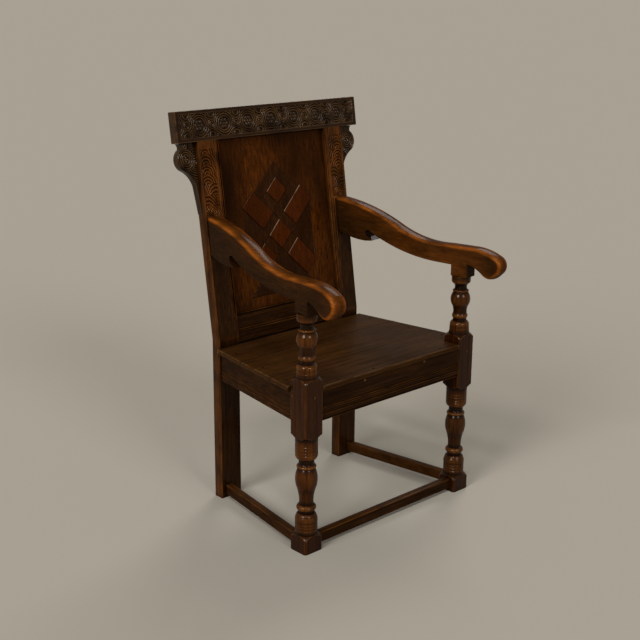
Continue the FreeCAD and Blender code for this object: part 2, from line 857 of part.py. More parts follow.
def light_lozenges():
    half = d.strap_width / 2
    heart = half + (d.diamond_side - d.diamond_heart) / 2
    tiles = strap_tiles(half + d.strap_gap, d.strap_length, d.light_relief)
    tiles.append(tile(-half, -half, d.strap_width, d.strap_width, d.light_relief))
    tiles.append(tile(-heart - d.diamond_heart, heart, d.diamond_heart, d.diamond_heart, d.light_relief))
    keep(lattice(tiles), "panel_lozenges_light")


def corner_tile(points):
    body = new_body("CornerTile")
    sketch = new_sketch(body, "XZ_Plane")
    outline(sketch, points)
    pad(body, sketch, d.dark_relief)
    return body


def dark_lozenges():
    half = d.strap_width / 2
    heart = half + (d.diamond_side - d.diamond_heart) / 2
    frame = tile(-half - d.diamond_side, half, d.diamond_side, d.diamond_side, d.dark_relief)
    window = tile(-heart - d.diamond_heart, heart, d.diamond_heart, d.diamond_heart, d.dark_relief)
    side_far = d.side_point_reach * ROOT_TWO - half
    foot_far = d.foot_point_reach * ROOT_TWO - half
    tiles = strap_tiles(half, d.strap_gap, d.dark_relief)
    tiles.append(cut(frame, [window]))
    tiles.append(corner_tile([(half, half), (side_far, half), (half, side_far)]))
    tiles.append(corner_tile([(-half, -half), (-side_far, -half), (-half, -side_far)]))
    tiles.append(corner_tile([(half, -half), (half, -foot_far), (foot_far, -half)]))
    keep(lattice(tiles), "panel_lozenges_dark")


def pegs_and_pins():
    keep(group([front_peg(side) for side in SIDES] + [side_peg(side, end) for side in SIDES for end in ENDS]),
         "rail_pegs")
    keep(group([arm_pin_peg(side) for side in SIDES]), "arm_pegs")
    keep(raked([bracket_pin(side) for side in SIDES]), "bracket_pins")
    keep(group(seat_pins_on_front() + [pin for side in SIDES for pin in seat_pins_on_side(side)]), "seat_pins")


SIDES = (-1, 1)
ENDS = ("front", "rear")
ROOT_TWO = math.sqrt(2)
CORNER_REACH = 0.75
SLANT = 45
FRONT_PIN_SPACES = 8
FRONT_PIN_STEPS = (-3, -1, 1, 3)

doc = FreeCAD.newDocument("Armchair")
parts = []
d = make_sheet()

# places that several pieces share
half_front = d.front_width / 2
half_rear = d.rear_width / 2
post_inner = half_front - d.post_size
stile_inner = half_rear - d.stile_width
post_x = half_front - d.post_size / 2
rail_top = d.seat_height - d.board_thickness
rail_bottom = rail_top - d.rail_height
stretcher_top = d.stretcher_lift + d.stretcher_height
block_top = d.seat_height + d.seat_block_rise
block_bottom = block_top - d.seat_block_height
lower_rail_top = d.lower_rail_height - d.lower_rail_drop
panel_low = lower_rail_top - d.groove_depth

# the arm's run from the post's axis to the sloping stile
arm_middle_height = d.arm_rest_height + (d.arm_rear_top + d.arm_rear_bottom) / 2
arm_run = d.frame_depth - d.post_size / 2 + (arm_middle_height - d.rake_height) * tangent(d.rake_angle)
arm_splay = slope_angle(post_x - d.arm_rear_spacing / 2, arm_run)
arm_length = arm_run / cosine(arm_splay)
arm_tenon_low = (arm_middle_height - d.rake_height) / cosine(d.rake_angle) - d.arm_tenon_height / 2

# the depth is centred on the box from the front of the scrolls to the back of the crest rail
scroll_tip = (d.scroll_shoulder_reach + d.scroll_heel_reach) / 2 + d.scroll_front_bulge
front_reach = scroll_tip * cosine(arm_splay) + d.arm_thickness / 2 * sine(arm_splay) - d.post_size / 2
crest_back = d.crest_thickness * cosine(d.rake_angle) + (d.back_length + d.crest_height) * sine(d.rake_angle)
post_front = (front_reach - d.frame_depth - crest_back) / 2
post_y = post_front + d.post_size / 2
post_rear = post_front + d.post_size
stile_front = post_front + d.frame_depth
front_rail_y = post_front + d.rail_setback
rear_rail_y = stile_front + d.rail_setback
front_stretcher_y = post_front + d.stretcher_setback
splay_slope = (half_front - half_rear) / (d.frame_depth - d.post_size)
seat_front = front_rail_y - d.board_nosing
front_seam = seat_front + d.front_board_depth
rear_seam = front_seam + d.middle_board_depth
board_middles = [(post_rear + front_seam) / 2, (front_seam + rear_seam) / 2, (rear_seam + stile_front) / 2]

for chair_side in SIDES:
    front_post(chair_side)
    rear_stile(chair_side)
    side_rail(chair_side)
    side_stretcher(chair_side)
    scroll_arm(chair_side)
    scroll_bracket(chair_side)
straight_rails()
seat_boards()
crest_rail()
lower_back_rail()
back_panel()
light_lozenges()
dark_lozenges()
pegs_and_pins()
doc.recompute()

for item in doc.Objects:
    if "Invalid" in item.State or "Error" in item.State:
        raise RuntimeError(f"{item.Name} of {item.Label} did not build: {item.State}")
for item in parts:
    if item.Shape.isNull() or not item.Shape.isValid():
        raise RuntimeError(f"{item.Label} has no valid shape")

os.makedirs("parts", exist_ok=True)
for item in parts:
    item.Shape.exportStep(f"parts/{item.Label}.step")
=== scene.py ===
import math

import bpy
import numpy as np
from mathutils import Matrix, Vector


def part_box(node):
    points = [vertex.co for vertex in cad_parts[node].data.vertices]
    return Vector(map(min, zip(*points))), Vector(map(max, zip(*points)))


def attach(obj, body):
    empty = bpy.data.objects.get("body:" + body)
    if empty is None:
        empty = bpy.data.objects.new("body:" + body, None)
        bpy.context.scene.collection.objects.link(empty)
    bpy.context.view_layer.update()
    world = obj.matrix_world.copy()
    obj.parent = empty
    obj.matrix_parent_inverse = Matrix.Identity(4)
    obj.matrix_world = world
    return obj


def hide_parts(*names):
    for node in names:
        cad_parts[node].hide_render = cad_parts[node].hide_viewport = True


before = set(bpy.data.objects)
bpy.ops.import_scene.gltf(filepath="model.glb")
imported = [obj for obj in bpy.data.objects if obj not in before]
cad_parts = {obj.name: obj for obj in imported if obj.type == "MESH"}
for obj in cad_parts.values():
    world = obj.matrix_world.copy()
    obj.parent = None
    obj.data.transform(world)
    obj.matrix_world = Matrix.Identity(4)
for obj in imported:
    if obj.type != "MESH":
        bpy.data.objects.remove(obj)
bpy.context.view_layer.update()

# a joined oak armchair: values multiplied by MM are metres, and other lengths are millimetres
MM = 0.001
SIDES = {"left": -1, "right": 1}
BODY = "root"

# places read from the frame
STILE_LOW, STILE_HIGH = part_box("rear_stile_right")
POST_LOW, POST_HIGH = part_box("front_post_right")
CREST_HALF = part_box("crest_rail")[1].x
PANEL_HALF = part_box("back_panel")[1].x
POST_X = (POST_LOW.x + POST_HIGH.x) / 2
POST_Y = (POST_LOW.y + POST_HIGH.y) / 2
POST_REAR = POST_HIGH.y
STILE_FRONT = STILE_LOW.y
STILE_WIDTH = STILE_HIGH.x - STILE_LOW.x
SPLAY = (POST_HIGH.x - STILE_HIGH.x) / (STILE_FRONT - POST_REAR)

# the sloping back
RAKE = math.radians(8.5)
RAKE_HEIGHT = 430 * MM
BACK_LENGTH = 495 * MM
STILE_TOP = RAKE_HEIGHT + BACK_LENGTH
STILE_DEPTH = 30 * MM

# fineness of the meshes, and how strongly a sharp edge counts as worn
CORNER_STEPS = 4
QUARTER = np.linspace(0, math.pi / 2, CORNER_STEPS + 1)
QUAD = 4
EDGE_WEAR = 4
TINY = 1e-9


# outlines and surfaces

WAVES = ((1.0, 0.6), (-0.7, 1.3), (1.9, -1.1), (2.3, 2.9))
PHASE = 1.7
WANDER = 1.3


def joined(x, y, z):
    """Points from coordinates, each of them one value or a row."""
    return np.stack(np.broadcast_arrays(x, y, z), axis=-1)


def held(values):
    """Values held between zero and one."""
    return np.clip(values, 0, 1)


def raked(x, depth, up):
    """Points of the sloping back: depth behind its front plane and up along its slope."""
    y = STILE_FRONT + depth * math.cos(RAKE) + up * math.sin(RAKE)
    z = RAKE_HEIGHT - depth * math.sin(RAKE) + up * math.cos(RAKE)
    return joined(x, y, z)


def ripple(first, second, seed, waves=(1, 1)):
    """A smooth unevenness between about -1 and 1, the same on every run."""
    first = first * waves[0]
    second = second * waves[1]
    total = 0
    for number, (along, across) in enumerate(WAVES):
        total = total + np.sin(along * first + across * second + seed * (PHASE + number))
    return total / len(WAVES)


def planed(along, across, waves, depth, seed):
    """The shallow hollows that a hand plane leaves, never above the face."""
    return (ripple(along, across, seed, waves) + 1) * depth


def hand_cut(first, second, seed):
    """Lets the lines of a carving wander a little, in waves that differ each way."""
    drift = WANDER * ripple(first / 9, second / 11, seed)
    sway = WANDER * ripple(second / 10, first / 12, seed + 3)
    return first + drift, second + sway


def grooves(level, cuts):
    """Round-bottomed scratches across a profile, each given by its centre, width and depth."""
    total = 0
    for centre, width, depth in cuts:
        total = total + depth * np.clip(1 - ((level - centre) / (width / 2)) ** 2, 0, None)
    return total


def reeds(distance, pitch):
    """Rounded ridges with a V cut between them."""
    return 1 - np.abs(np.sin(math.pi * distance / pitch))


def ringed(depth, far, reach, ring, start=0.0):
    """Lays rings over a carving, from a start round some centre out to a reach."""
    return np.where(far < reach, reeds(far - start, ring), depth)


def window(level, low, high, soft):
    """One between two levels, fading to zero over a soft edge outside them."""
    return held((level - low) / soft + 1) * held((high - level) / soft + 1)


def trace(pieces, step):
    """Points along a closed outline of (u, v[, bulge]) pieces, with the number of each point's piece.
    A bulge is how far an arc swells to the right of its way."""
    points, owners = [], []
    for number, piece in enumerate(pieces):
        start = np.array(pieces[number - 1][:2], float)
        end = np.array(piece[:2], float)
        chord = end - start
        length = np.hypot(*chord)
        bulge = piece[2] if len(piece) > 2 else 0.0
        count = max(1, round(length / step))
        share = (np.arange(count) + 1) / count
        right = np.array([chord[1], -chord[0]]) / length
        if bulge:
            half_angle = 2 * math.atan(2 * abs(bulge) / length)
            radius = length / 2 / math.sin(half_angle)
            angle = half_angle * (2 * share - 1)
            along = length / 2 + radius * np.sin(angle)
            out = math.copysign(1, bulge) * radius * (np.cos(angle) - math.cos(half_angle))
        else:
            along = length * share
            out = 0 * share
        points.append(start + along[:, None] * chord / length + out[:, None] * right)
        owners.append(np.full(count, number))
    return np.concatenate(points), np.concatenate(owners)


def outward(points):
    """Mitred normals of a closed outline that runs with its inside on the left."""
    ahead = np.roll(points, -1, axis=0) - points
    ahead = ahead / np.linalg.norm(ahead, axis=1)[:, None]
    normal = np.stack([ahead[:, 1], -ahead[:, 0]], axis=1)
    both = normal + np.roll(normal, 1, axis=0)
    return 2 * both / np.maximum((both ** 2).sum(axis=1), 1)[:, None]


def smooth_round(values, passes):
    """Blurs values that run round a closed outline."""
    for _ in range(passes):
        values = (np.roll(values, 1) + values * 2 + np.roll(values, -1)) / 4
    return values


# meshes

def read(items, label, width, kind):
    """One row of numbers for each item of a mesh."""
    values = np.empty(len(items) * width, kind)
    items.foreach_get(label, values)
    return values.reshape(-1, width)


def convexity(mesh):
    """How far each point stands out from its neighbours, as a share of their distance."""
    place = read(mesh.vertices, "co", 3, np.float32)
    normal = read(mesh.vertex_normals, "vector", 3, np.float32)
    edges = read(mesh.edges, "vertices", 2, np.int32)
    away = place[edges[:, 1]] - place[edges[:, 0]]
    away = away / np.maximum(np.linalg.norm(away, axis=1), TINY)[:, None]
    total = np.zeros(place.shape)
    shared = np.zeros(len(place))
    for end, sign in ((0, 1), (1, -1)):
        np.add.at(total, edges[:, end], away * sign)
        np.add.at(shared, edges[:, end], 1)
    return -(total * normal).sum(axis=1) / np.maximum(shared, 1)


def placed(name, data):
    """A new object in the scene."""
    thing = bpy.data.objects.new(name, data)
    bpy.context.scene.collection.objects.link(thing)
    return thing


def new_piece(name, points, faces, dirt_and_shade=0.0, plank=0.0, wear_and_highlight=None, polish=0.0):
    """A mesh object with its stretch of grain, its soiling and painted shade, and its rubbing and painted
    highlights, or else rubbed and polished edges.
    """
    mesh = bpy.data.meshes.new(name)
    mesh.from_pydata(np.reshape(points, (-1, 3)).tolist(), [], faces)
    mesh.update()
    mesh.shade_smooth()
    mesh.set_sharp_from_angle(angle=math.radians(40))
    for face in mesh.polygons:
        face.use_smooth = face.loop_total <= QUAD
    if wear_and_highlight is None:
        wear_and_highlight = held(convexity(mesh) * EDGE_WEAR + np.ravel(polish))
    for label, values in (("wear_and_highlight", wear_and_highlight), ("dirt_and_shade", dirt_and_shade), ("plank", plank)):
        spread = np.broadcast_to(np.ravel(values), len(mesh.vertices))
        layer = mesh.attributes.new(label, "FLOAT", "POINT")
        layer.data.foreach_set("value", spread.astype(np.float32))
    return placed(name, mesh)


def ring_faces(count, around, offset=0):
    """Quads between rings and flat faces over the first and the last."""
    row = np.arange(count - 1)[:, None] * around + offset
    here = np.arange(around)[None, :]
    after = (here + 1) % around
    quads = np.stack([row + here, row + after, row + around + after, row + around + here], axis=-1)
    last = offset + (count - 1) * around
    ends = [list(reversed(range(offset, offset + around))), list(range(last, last + around))]
    return quads.reshape(-1, 4).tolist() + ends


def loft(name, rings, dirt_and_shade=0.0, plank=0.0, flip=False, wear_and_highlight=None, polish=0.0):
    """A closed solid through rings of points. A flip turns its faces the other way."""
    rings = np.asarray(rings, float)
    shape = rings.shape[:2]
    dirt_and_shade = np.broadcast_to(dirt_and_shade, shape)
    polish = np.broadcast_to(polish, shape)
    if flip:
        rings, dirt_and_shade, polish = rings[::-1], dirt_and_shade[::-1], polish[::-1]
    return new_piece(name, rings, ring_faces(*shape), dirt_and_shade, plank, wear_and_highlight, polish)


def bar_section(thickness, height, edge, steps):
    """Points round a bar, up its front first, as depth behind the front and height."""
    near, far = edge, thickness - edge
    low, high = edge, height - edge
    rise = edge * np.sin(QUARTER)
    fall = edge * np.cos(QUARTER)
    front = np.linspace(low, high, steps + 1)
    depth = np.concatenate([0 * front, near - fall[1:], far + rise, far + fall, near - rise[:-1]])
    up = np.concatenate([front, high + rise[1:], high + fall, low - rise, low - fall[:-1]])
    return depth, up, len(front)


def untouched(along, up):
    """No extra darkening and no polish beyond the shape's own."""
    return 0.0


def bar(name, stations, place, thickness, height, edge, steps, relief, deepest, plank,
        flip=False, end_round=0.0, darkened=untouched, rubbed=untouched):
    """A bar with rounded edges whose front is cut back by a relief, darker the deeper it is cut, with
    soiling and painted shade. place puts its points in the chair, and darkened and rubbed say how much
    darker and how polished the front is."""
    depth, up, front = bar_section(thickness, height, edge, steps)
    along = np.asarray(stations)[:, None]
    depth = np.repeat(depth[None, :], len(along), axis=0)
    up = np.repeat(up[None, :], len(along), axis=0)
    face = up[:, :front]
    cut = relief(along, face)
    depth[:, :front] += cut
    dirt_and_shade = np.zeros_like(depth)
    # the deeper the cut, the darker the front: dirt and painted shade in the hollows
    dirt_and_shade[:, :front] = np.maximum(held(cut / deepest), darkened(along, face))
    polish = np.zeros_like(depth)
    polish[:, :front] = rubbed(along, face)
    if end_round:
        reach = np.minimum(along - along[0], along[-1] - along)
        lack = held(1 - reach / end_round)
        shrink = end_round * (1 - np.sqrt(1 - lack ** 2))
        depth = thickness / 2 + (depth - thickness / 2) * (1 - 2 * shrink / thickness)
        up = height / 2 + (up - height / 2) * (1 - 2 * shrink / height)
    return loft(name, place(along, depth, up), dirt_and_shade, plank, flip, polish=polish)


def dress(piece, material, slot, *nodes):
    """Gives a piece its material and lets it stand for its nodes."""
    piece.data.materials.append(material)
    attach(piece, BODY)
    if nodes:
        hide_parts(*nodes)


# materials

MIX_FACTOR, MIX_A, MIX_B, MIX_RESULT = 0, 6, 7, 2
GRAIN_AXES = {"across": 0, "deep": 1, "upright": 2}
GLOSS_TINT = (1.0, 0.56, 0.28)

# noises: cycles to the metre across and along the grain, detail and, if it isn't 0.5, roughness
STREAK_NOISE = (240, 7, 4, 0.6)
PORE_NOISE = (1300, 45, 2)
PATCH_NOISE = (45, 20, 3)
STAIN_STRETCH = 3
STAIN_DETAIL = 3

# the span of a noise that counts, and what it becomes
STREAK_SPAN = (0.3, 0.72)
WIDE_SPAN = (0.3, 0.7)
STAIN_SPAN = (0.4, 0.66)
PORE_SPAN = (0.36, 0.5)
PORE_SHADES = (0.45, 1.0)
RUB_SPAN = (0.35, 0.6)
RUB_STREAK_SHARES = (0.55, 1.25)
DULL_LESS = 0.07
DULL_MORE = 0.12

# painted shade in crevices, how dark and dull it and dirt make the wood, and the height of pores and
# streaks
OCCLUSION_REACH = 12 * MM
OCCLUSION_SPAN = (0.35, 0.95)
OCCLUSION_SHADE = (0.85, 0.0)
SHADE_AND_DIRT_DARKNESS = 0.22
SHADE_AND_DIRT_DULL = 0.3
BUMP_HEIGHT = 0.07 * MM
STREAK_HEIGHT = 0.8


def fill(tree, node, inputs):
    """Sets a node's inputs to values and plain colours, or links them to other nodes."""
    for label, value in inputs.items():
        if isinstance(value, bpy.types.NodeSocket):
            tree.links.new(value, node.inputs[label])
        elif isinstance(value, tuple):
            node.inputs[label].default_value = (*value, 1)
        else:
            node.inputs[label].default_value = value


def add(tree, kind, inputs, **settings):
    """A new node with its settings and inputs."""
    node = tree.nodes.new("ShaderNode" + kind)
    for label, value in settings.items():
        setattr(node, label, value)
    fill(tree, node, inputs)
    return node


def attribute(tree, name):
    """A value that the points of a mesh carry."""
    return add(tree, "Attribute", {}, attribute_name=name).outputs["Fac"]


def noise(tree, grain, across, along, detail, roughness=0.5):
    """Noise that is stretched along the grain and shifted from plank to plank."""
    scale = [across] * 3
    scale[GRAIN_AXES[grain]] = along
    place = add(tree, "TexCoord", {}).outputs["Object"]
    place = add(tree, "Mapping", {"Vector": place, "Scale": scale}).outputs["Vector"]
    inputs = {"Vector": place, "W": attribute(tree, "plank"),
              "Scale": 1.0, "Detail": detail, "Roughness": roughness}
    return add(tree, "TexNoise", inputs, noise_dimensions="4D").outputs["Fac"]


def remap(tree, value, span, target=(0.0, 1.0)):
    """Stretches a span of a value to a target, and holds it there outside the span."""
    inputs = {"Value": value, "From Min": span[0], "From Max": span[1],
              "To Min": target[0], "To Max": target[1]}
    return add(tree, "MapRange", inputs).outputs["Result"]


def combine(tree, operation, first, second):
    """A sum, a product or the like of two values."""
    return add(tree, "Math", {0: first, 1: second}, operation=operation).outputs["Value"]


def blend(tree, factor, first, second, mode="MIX"):
    """A mix of two colours."""
    inputs = {MIX_FACTOR: factor, MIX_A: first, MIX_B: second}
    return add(tree, "Mix", inputs, data_type="RGBA", blend_type=mode).outputs[MIX_RESULT]


def oak(name, grain, dark, light, worn_and_highlight, rough=0.34, mirror=0.01, coat=0.06, gloss=0.16,
        wear_and_highlight=0.7, least_wear_and_highlight=0.1, bump=0.22, hollow=0.75, mottle=0.6, stain=14):
    """Waxed oak: streaks and pores along the grain, rubbed edges, and soiling and painted shade in the
    hollows and crevices. gloss is the roughness of its coat, mirror the shine under the coat, and stain
    the fineness of its stains."""
    material = bpy.data.materials.new(name)
    material.use_nodes = True
    tree = material.node_tree
    streaks = noise(tree, grain, *STREAK_NOISE)
    stains = noise(tree, grain, stain, stain / STAIN_STRETCH, STAIN_DETAIL)
    pores = noise(tree, grain, *PORE_NOISE)
    patches = noise(tree, grain, *PATCH_NOISE)
    # streaks from dark to light, clouded by stains and dotted with dark pores
    body = blend(tree, remap(tree, streaks, STREAK_SPAN), dark, light)
    body = blend(tree, remap(tree, stains, STAIN_SPAN, (0.0, mottle)), body, dark)
    body = blend(tree, 1.0, body, remap(tree, pores, PORE_SPAN, PORE_SHADES), "MULTIPLY")
    # worn places, rubbed pale in patches and more on the pale streaks; on the lozenges the same channel
    # paints highlights on the edges that face the light, and on the arms a sheen on their inner faces
    patchy = remap(tree, patches, RUB_SPAN, (least_wear_and_highlight, wear_and_highlight))
    rubbed = combine(tree, "MULTIPLY", attribute(tree, "wear_and_highlight"), patchy)
    rubbed = combine(tree, "MULTIPLY", rubbed, remap(tree, streaks, WIDE_SPAN, RUB_STREAK_SHARES))
    body = blend(tree, rubbed, body, worn_and_highlight)
    # painted shade from occlusion in the crevices between pieces, and dirt with painted shade in the
    # hollows of each piece, both darker and duller
    occlusion = add(tree, "AmbientOcclusion", {"Distance": OCCLUSION_REACH}, samples=6)
    painted_shade_and_dirt = remap(tree, occlusion.outputs["AO"], OCCLUSION_SPAN, OCCLUSION_SHADE)
    painted_shade_and_dirt = combine(tree, "MAXIMUM", painted_shade_and_dirt, combine(tree, "MULTIPLY", attribute(tree, "dirt_and_shade"), hollow))
    body = blend(tree, painted_shade_and_dirt, body, tuple(channel * SHADE_AND_DIRT_DARKNESS for channel in dark))
    dull = remap(tree, patches, WIDE_SPAN, (rough - DULL_LESS, rough + DULL_MORE))
    dull = combine(tree, "ADD", dull, combine(tree, "MULTIPLY", painted_shade_and_dirt, SHADE_AND_DIRT_DULL))
    # open pores and slightly raised streaks
    raised = combine(tree, "MULTIPLY", streaks, STREAK_HEIGHT)
    raised = combine(tree, "ADD", remap(tree, pores, PORE_SPAN), raised)
    relief = add(tree, "Bump", {"Height": raised, "Strength": bump, "Distance": BUMP_HEIGHT})
    fill(tree, tree.nodes["Principled BSDF"], {
        "Base Color": body, "Roughness": dull, "Normal": relief.outputs["Normal"],
        "Coat Weight": coat, "Coat Roughness": gloss,
        "Specular IOR Level": mirror, "Specular Tint": GLOSS_TINT,
    })
    return material


BLACK_OAK = (0.008, 0.0029, 0.0008)
DARK_OAK = (0.02, 0.0072, 0.0018)
DUSKY_OAK = (0.042, 0.0145, 0.0032)
BROWN_OAK = (0.043, 0.0155, 0.0038)
WARM_OAK = (0.055, 0.019, 0.0042)
RED_OAK = (0.138, 0.036, 0.004)
WORN_OAK = (0.26, 0.092, 0.014)
RED_WORN_OAK = (0.28, 0.082, 0.012)
RUBBED_OAK = (0.22, 0.115, 0.042)
PAINTED_EDGE_HIGHLIGHT = (0.24, 0.155, 0.095)
CARVED_FINISH = dict(rough=0.2, mirror=0.08, coat=0.3, gloss=0.12, wear_and_highlight=0.85, hollow=1.0)
TILE_HIGHLIGHT_STRENGTH = dict(wear_and_highlight=1.0, least_wear_and_highlight=0.25)

FRAME_UPRIGHT = oak("frame_oak_upright", "upright", BLACK_OAK, WARM_OAK, RED_WORN_OAK,
                    rough=0.24, mirror=0.06, coat=0.08, gloss=0.1, hollow=0.6)
FRAME_ACROSS = oak("frame_oak_across", "across", BLACK_OAK, BROWN_OAK, WORN_OAK, wear_and_highlight=0.5)
FRAME_DEEP = oak("frame_oak_deep", "deep", BLACK_OAK, WARM_OAK, WORN_OAK, wear_and_highlight=0.5)
TURNED = oak("turned_oak", "upright", dark=(0.006, 0.0016, 0.0002), light=(0.074, 0.0185, 0.0023),
             worn_and_highlight=WORN_OAK, rough=0.2, mirror=0.06, coat=0.21, gloss=0.09,
             wear_and_highlight=0.4, least_wear_and_highlight=0.1, bump=0.08, hollow=0.85)
CARVED_ACROSS = oak("carved_oak_across", "across", BLACK_OAK, DUSKY_OAK, RUBBED_OAK, **CARVED_FINISH)
CARVED_UPRIGHT = oak("carved_oak_upright", "upright", BLACK_OAK, DUSKY_OAK, RUBBED_OAK, **CARVED_FINISH)
PANEL = oak("panel_oak", "upright", dark=(0.02, 0.006, 0.001), light=RED_OAK, worn_and_highlight=WORN_OAK,
            rough=0.36, mottle=0.95, stain=8)
# the lozenges' lighter edge colour is a painted highlight on the edges that face the light
LIGHT_TILE = oak("light_lozenge", "upright", dark=(0.034, 0.0076, 0.001), light=(0.092, 0.0195, 0.0024),
                 worn_and_highlight=PAINTED_EDGE_HIGHLIGHT, **TILE_HIGHLIGHT_STRENGTH)
DARK_TILE = oak("dark_lozenge", "upright", dark=(0.016, 0.0055, 0.0018), light=(0.056, 0.018, 0.0046),
                worn_and_highlight=PAINTED_EDGE_HIGHLIGHT, **TILE_HIGHLIGHT_STRENGTH)
SEAT = oak("seat_oak", "across", dark=DARK_OAK, light=(0.072, 0.0285, 0.0068), worn_and_highlight=(0.2, 0.11, 0.045),
           rough=0.38, coat=0.035, gloss=0.26, wear_and_highlight=0.6, least_wear_and_highlight=0.0)
ARM = oak("arm_oak", "deep", dark=(0.013, 0.0048, 0.0011), light=(0.032, 0.012, 0.0027),
          worn_and_highlight=(0.36, 0.095, 0.009), rough=0.24, coat=0.08, wear_and_highlight=1.0, least_wear_and_highlight=0.3, bump=0.012)
PEG = oak("peg_oak", "deep", dark=BROWN_OAK, light=(0.11, 0.052, 0.018), worn_and_highlight=WORN_OAK)
PLUG = oak("plug_oak", "deep", dark=BROWN_OAK, light=(0.16, 0.08, 0.03), worn_and_highlight=WORN_OAK)


# turned front posts

POST_HALF = 27.0
SQUARE_FROM = POST_HALF + 1
ARRIS = 36.6
FOOT_HIGH = 44
BLOCK_LOW = 285
BLOCK_HIGH = 432
SHOULDER = 9
DRUM = 26.8
CUP = 25.2
SCRIBED_DEPTH = 1.0
SCRIBED_HALF = 1.1
QUARTER_TURNS = (0, 90, 180, 270)
CORNER_ANGLES = (*range(0, 40, 5), 39, *range(42, 49), 51, *range(55, 90, 5))
DENT_DEPTH = 0.5
DENT_LENGTH = 7
BLOCK_DIRT = 0.35
HOLLOW_SPAN = 8
HOLLOW_MEAN = np.full(2 * HOLLOW_SPAN + 1, 1 / (2 * HOLLOW_SPAN + 1))
HOLLOW_DEPTH = 1.5
BULGE_POLISH = 0.36


def scribed(heights, radius):
    """Fine scratched lines round a drum."""
    cut = ((0, -SCRIBED_HALF), (SCRIBED_DEPTH, 0), (0, SCRIBED_HALF))
    return [(radius - depth, height + rise) for height in heights for depth, rise in cut]


def post_outline():
    """Radius and height of the post from the floor to the arm, with the bulges of its curves."""
    return [
        # foot block
        (ARRIS - 2, 0), (ARRIS, 2.5), (ARRIS, FOOT_HIGH - SHOULDER), (DRUM, FOOT_HIGH, 0.8),
        # lower drum and ring
        *scribed((56, 64, 71), DRUM), (DRUM, 76), (24.6, 90, 1.2), (17.2, 98, 1.6),
        (17.2, 103), (17.2, 118, 6.4),
        # vase and collar
        (17, 124), (22, 158, -1.3), (21, 209, 5.2), (22, 210.5), (22, 217, 1.6),
        (19.2, 219), (18.6, 226, -0.8), (17.6, 231),
        # upper drum
        (DRUM, 242, 2.2), *scribed((247, 253, 262, 269), DRUM), (DRUM, BLOCK_LOW),
        # seat block
        (ARRIS, BLOCK_LOW + SHOULDER, -0.8), (ARRIS, BLOCK_HIGH - SHOULDER), (DRUM, BLOCK_HIGH, 0.8),
        # cup and ring
        (CUP, 441), *scribed((445,), CUP), (24.6, 453), (17.3, 466, 2.6), (17.3, 468.5),
        (17.6, 473), (17.6, 484, 2.5),
        # bulb and collar
        (17.2, 489), (20, 505, -0.8), (18.6, 541, 5.9), (19.8, 542), (19.8, 546, 1),
        (16, 549), (16, 559, -0.6),
        # cap under the arm
        (20, 564), (24.2, 571, 1.5), (24.4, 583),
    ]


def front_post(name, side):
    """A post that is square in its blocks and round where it was turned, with hollows darkened by soiling
    and painted shade.
    """
    points, owner = trace(post_outline(), step=1.6)
    # the first stretch only closes the outline, so just its last point is kept
    radius, height = points[np.count_nonzero(owner == 0) - 1:].T
    mean = np.convolve(np.pad(radius, HOLLOW_SPAN, mode="edge"), HOLLOW_MEAN, mode="valid")
    sunk = ((mean - radius) / HOLLOW_DEPTH)[:, None]
    radius, height = radius[:, None], height[:, None]
    angle = np.radians([corner + quarter for quarter in QUARTER_TURNS for corner in CORNER_ANGLES])
    flat = POST_HALF / np.maximum(np.abs(np.cos(angle)), np.abs(np.sin(angle)))
    square = radius > SQUARE_FROM
    dent = DENT_DEPTH * held(ripple(height / DENT_LENGTH, np.round(angle * 2), side * 2.0 + 1))
    reach = np.minimum(np.where(square, radius - dent, radius), flat) * MM
    x = side * POST_X + reach * np.cos(angle)
    y = POST_Y + reach * np.sin(angle)
    # hollows get darker with their depth, dirt and painted shade; the square blocks get dirt, and the
    # bulges polish
    dirt_and_shade = np.where(square, BLOCK_DIRT, held(sunk))
    polish = np.where(square, 0, BULGE_POLISH * held(-sunk))
    piece = loft(f"turned_post_{name}", joined(x, y, height * MM), dirt_and_shade, plank=side * 1.3, polish=polish)
    dress(piece, TURNED, "turned_oak", f"front_post_{name}")


# rear stiles

FIELD_LOW = RAKE_HEIGHT + 312 * MM
FIELD_HIGH = RAKE_HEIGHT + 474 * MM
FIELD_INNER = 16 * MM
FIELD_OUTER = 57 * MM
FIELD_MIDDLE = (FIELD_INNER + FIELD_OUTER) / 2
FIELD_SKIN = 0.5
FIELD_DEPTH = 3.0
KNOT_TOP = 24.0
KNOT_PELLET = 3.5
KNOT_START = 3.0
KNOT_RING = 6.5
LEAF_TOP = 78.0
LEAF_PITCH = 26.0
LEAF_SLANT = 0.9
LEAF_BOW = 30.0
LEAF_RING = 10.0
SCALE_PITCH = 25.0
SCALE_SIDE = 7.0
SCALE_STRETCH = 0.9
SCALE_PELLET = 3.4
SCALE_RING = 7.0
SCALE_REACH = SCALE_RING * 4 + SCALE_PELLET
PELLET_DEPTH = 0.1
MOULD_LOW = RAKE_HEIGHT + 58 * MM
CHAMFER = 7.0
CHAMFER_DEPTH = 5.0
STILE_GROOVES = ((CHAMFER + 0.8, 2, 1.6), (14.5, 2, 1.6))
FOOT_STATIONS = (0, 1.5 * MM)
LEG_START = 4 * MM
FIELD_START = FIELD_LOW - 2 * MM
DEEPEST_CARVING = 3.6 * MM
STILE_POLISH = 0.38


def scales(across, up):
    """Rows of nested arcs, each swept over a pellet that lies to one side, the nearest row on top."""
    row = np.floor(up / SCALE_PITCH)
    depth = 0.0
    for rows_below, reach in ((2, math.inf), (1, SCALE_REACH), (0, SCALE_REACH)):
        foot = (row - rows_below) * SCALE_PITCH
        far = np.hypot(across - SCALE_SIDE, (up - foot) * SCALE_STRETCH)
        depth = ringed(depth, far, reach, SCALE_RING, start=SCALE_PELLET)
        depth = np.where(far < SCALE_PELLET, PELLET_DEPTH, depth)
    return depth


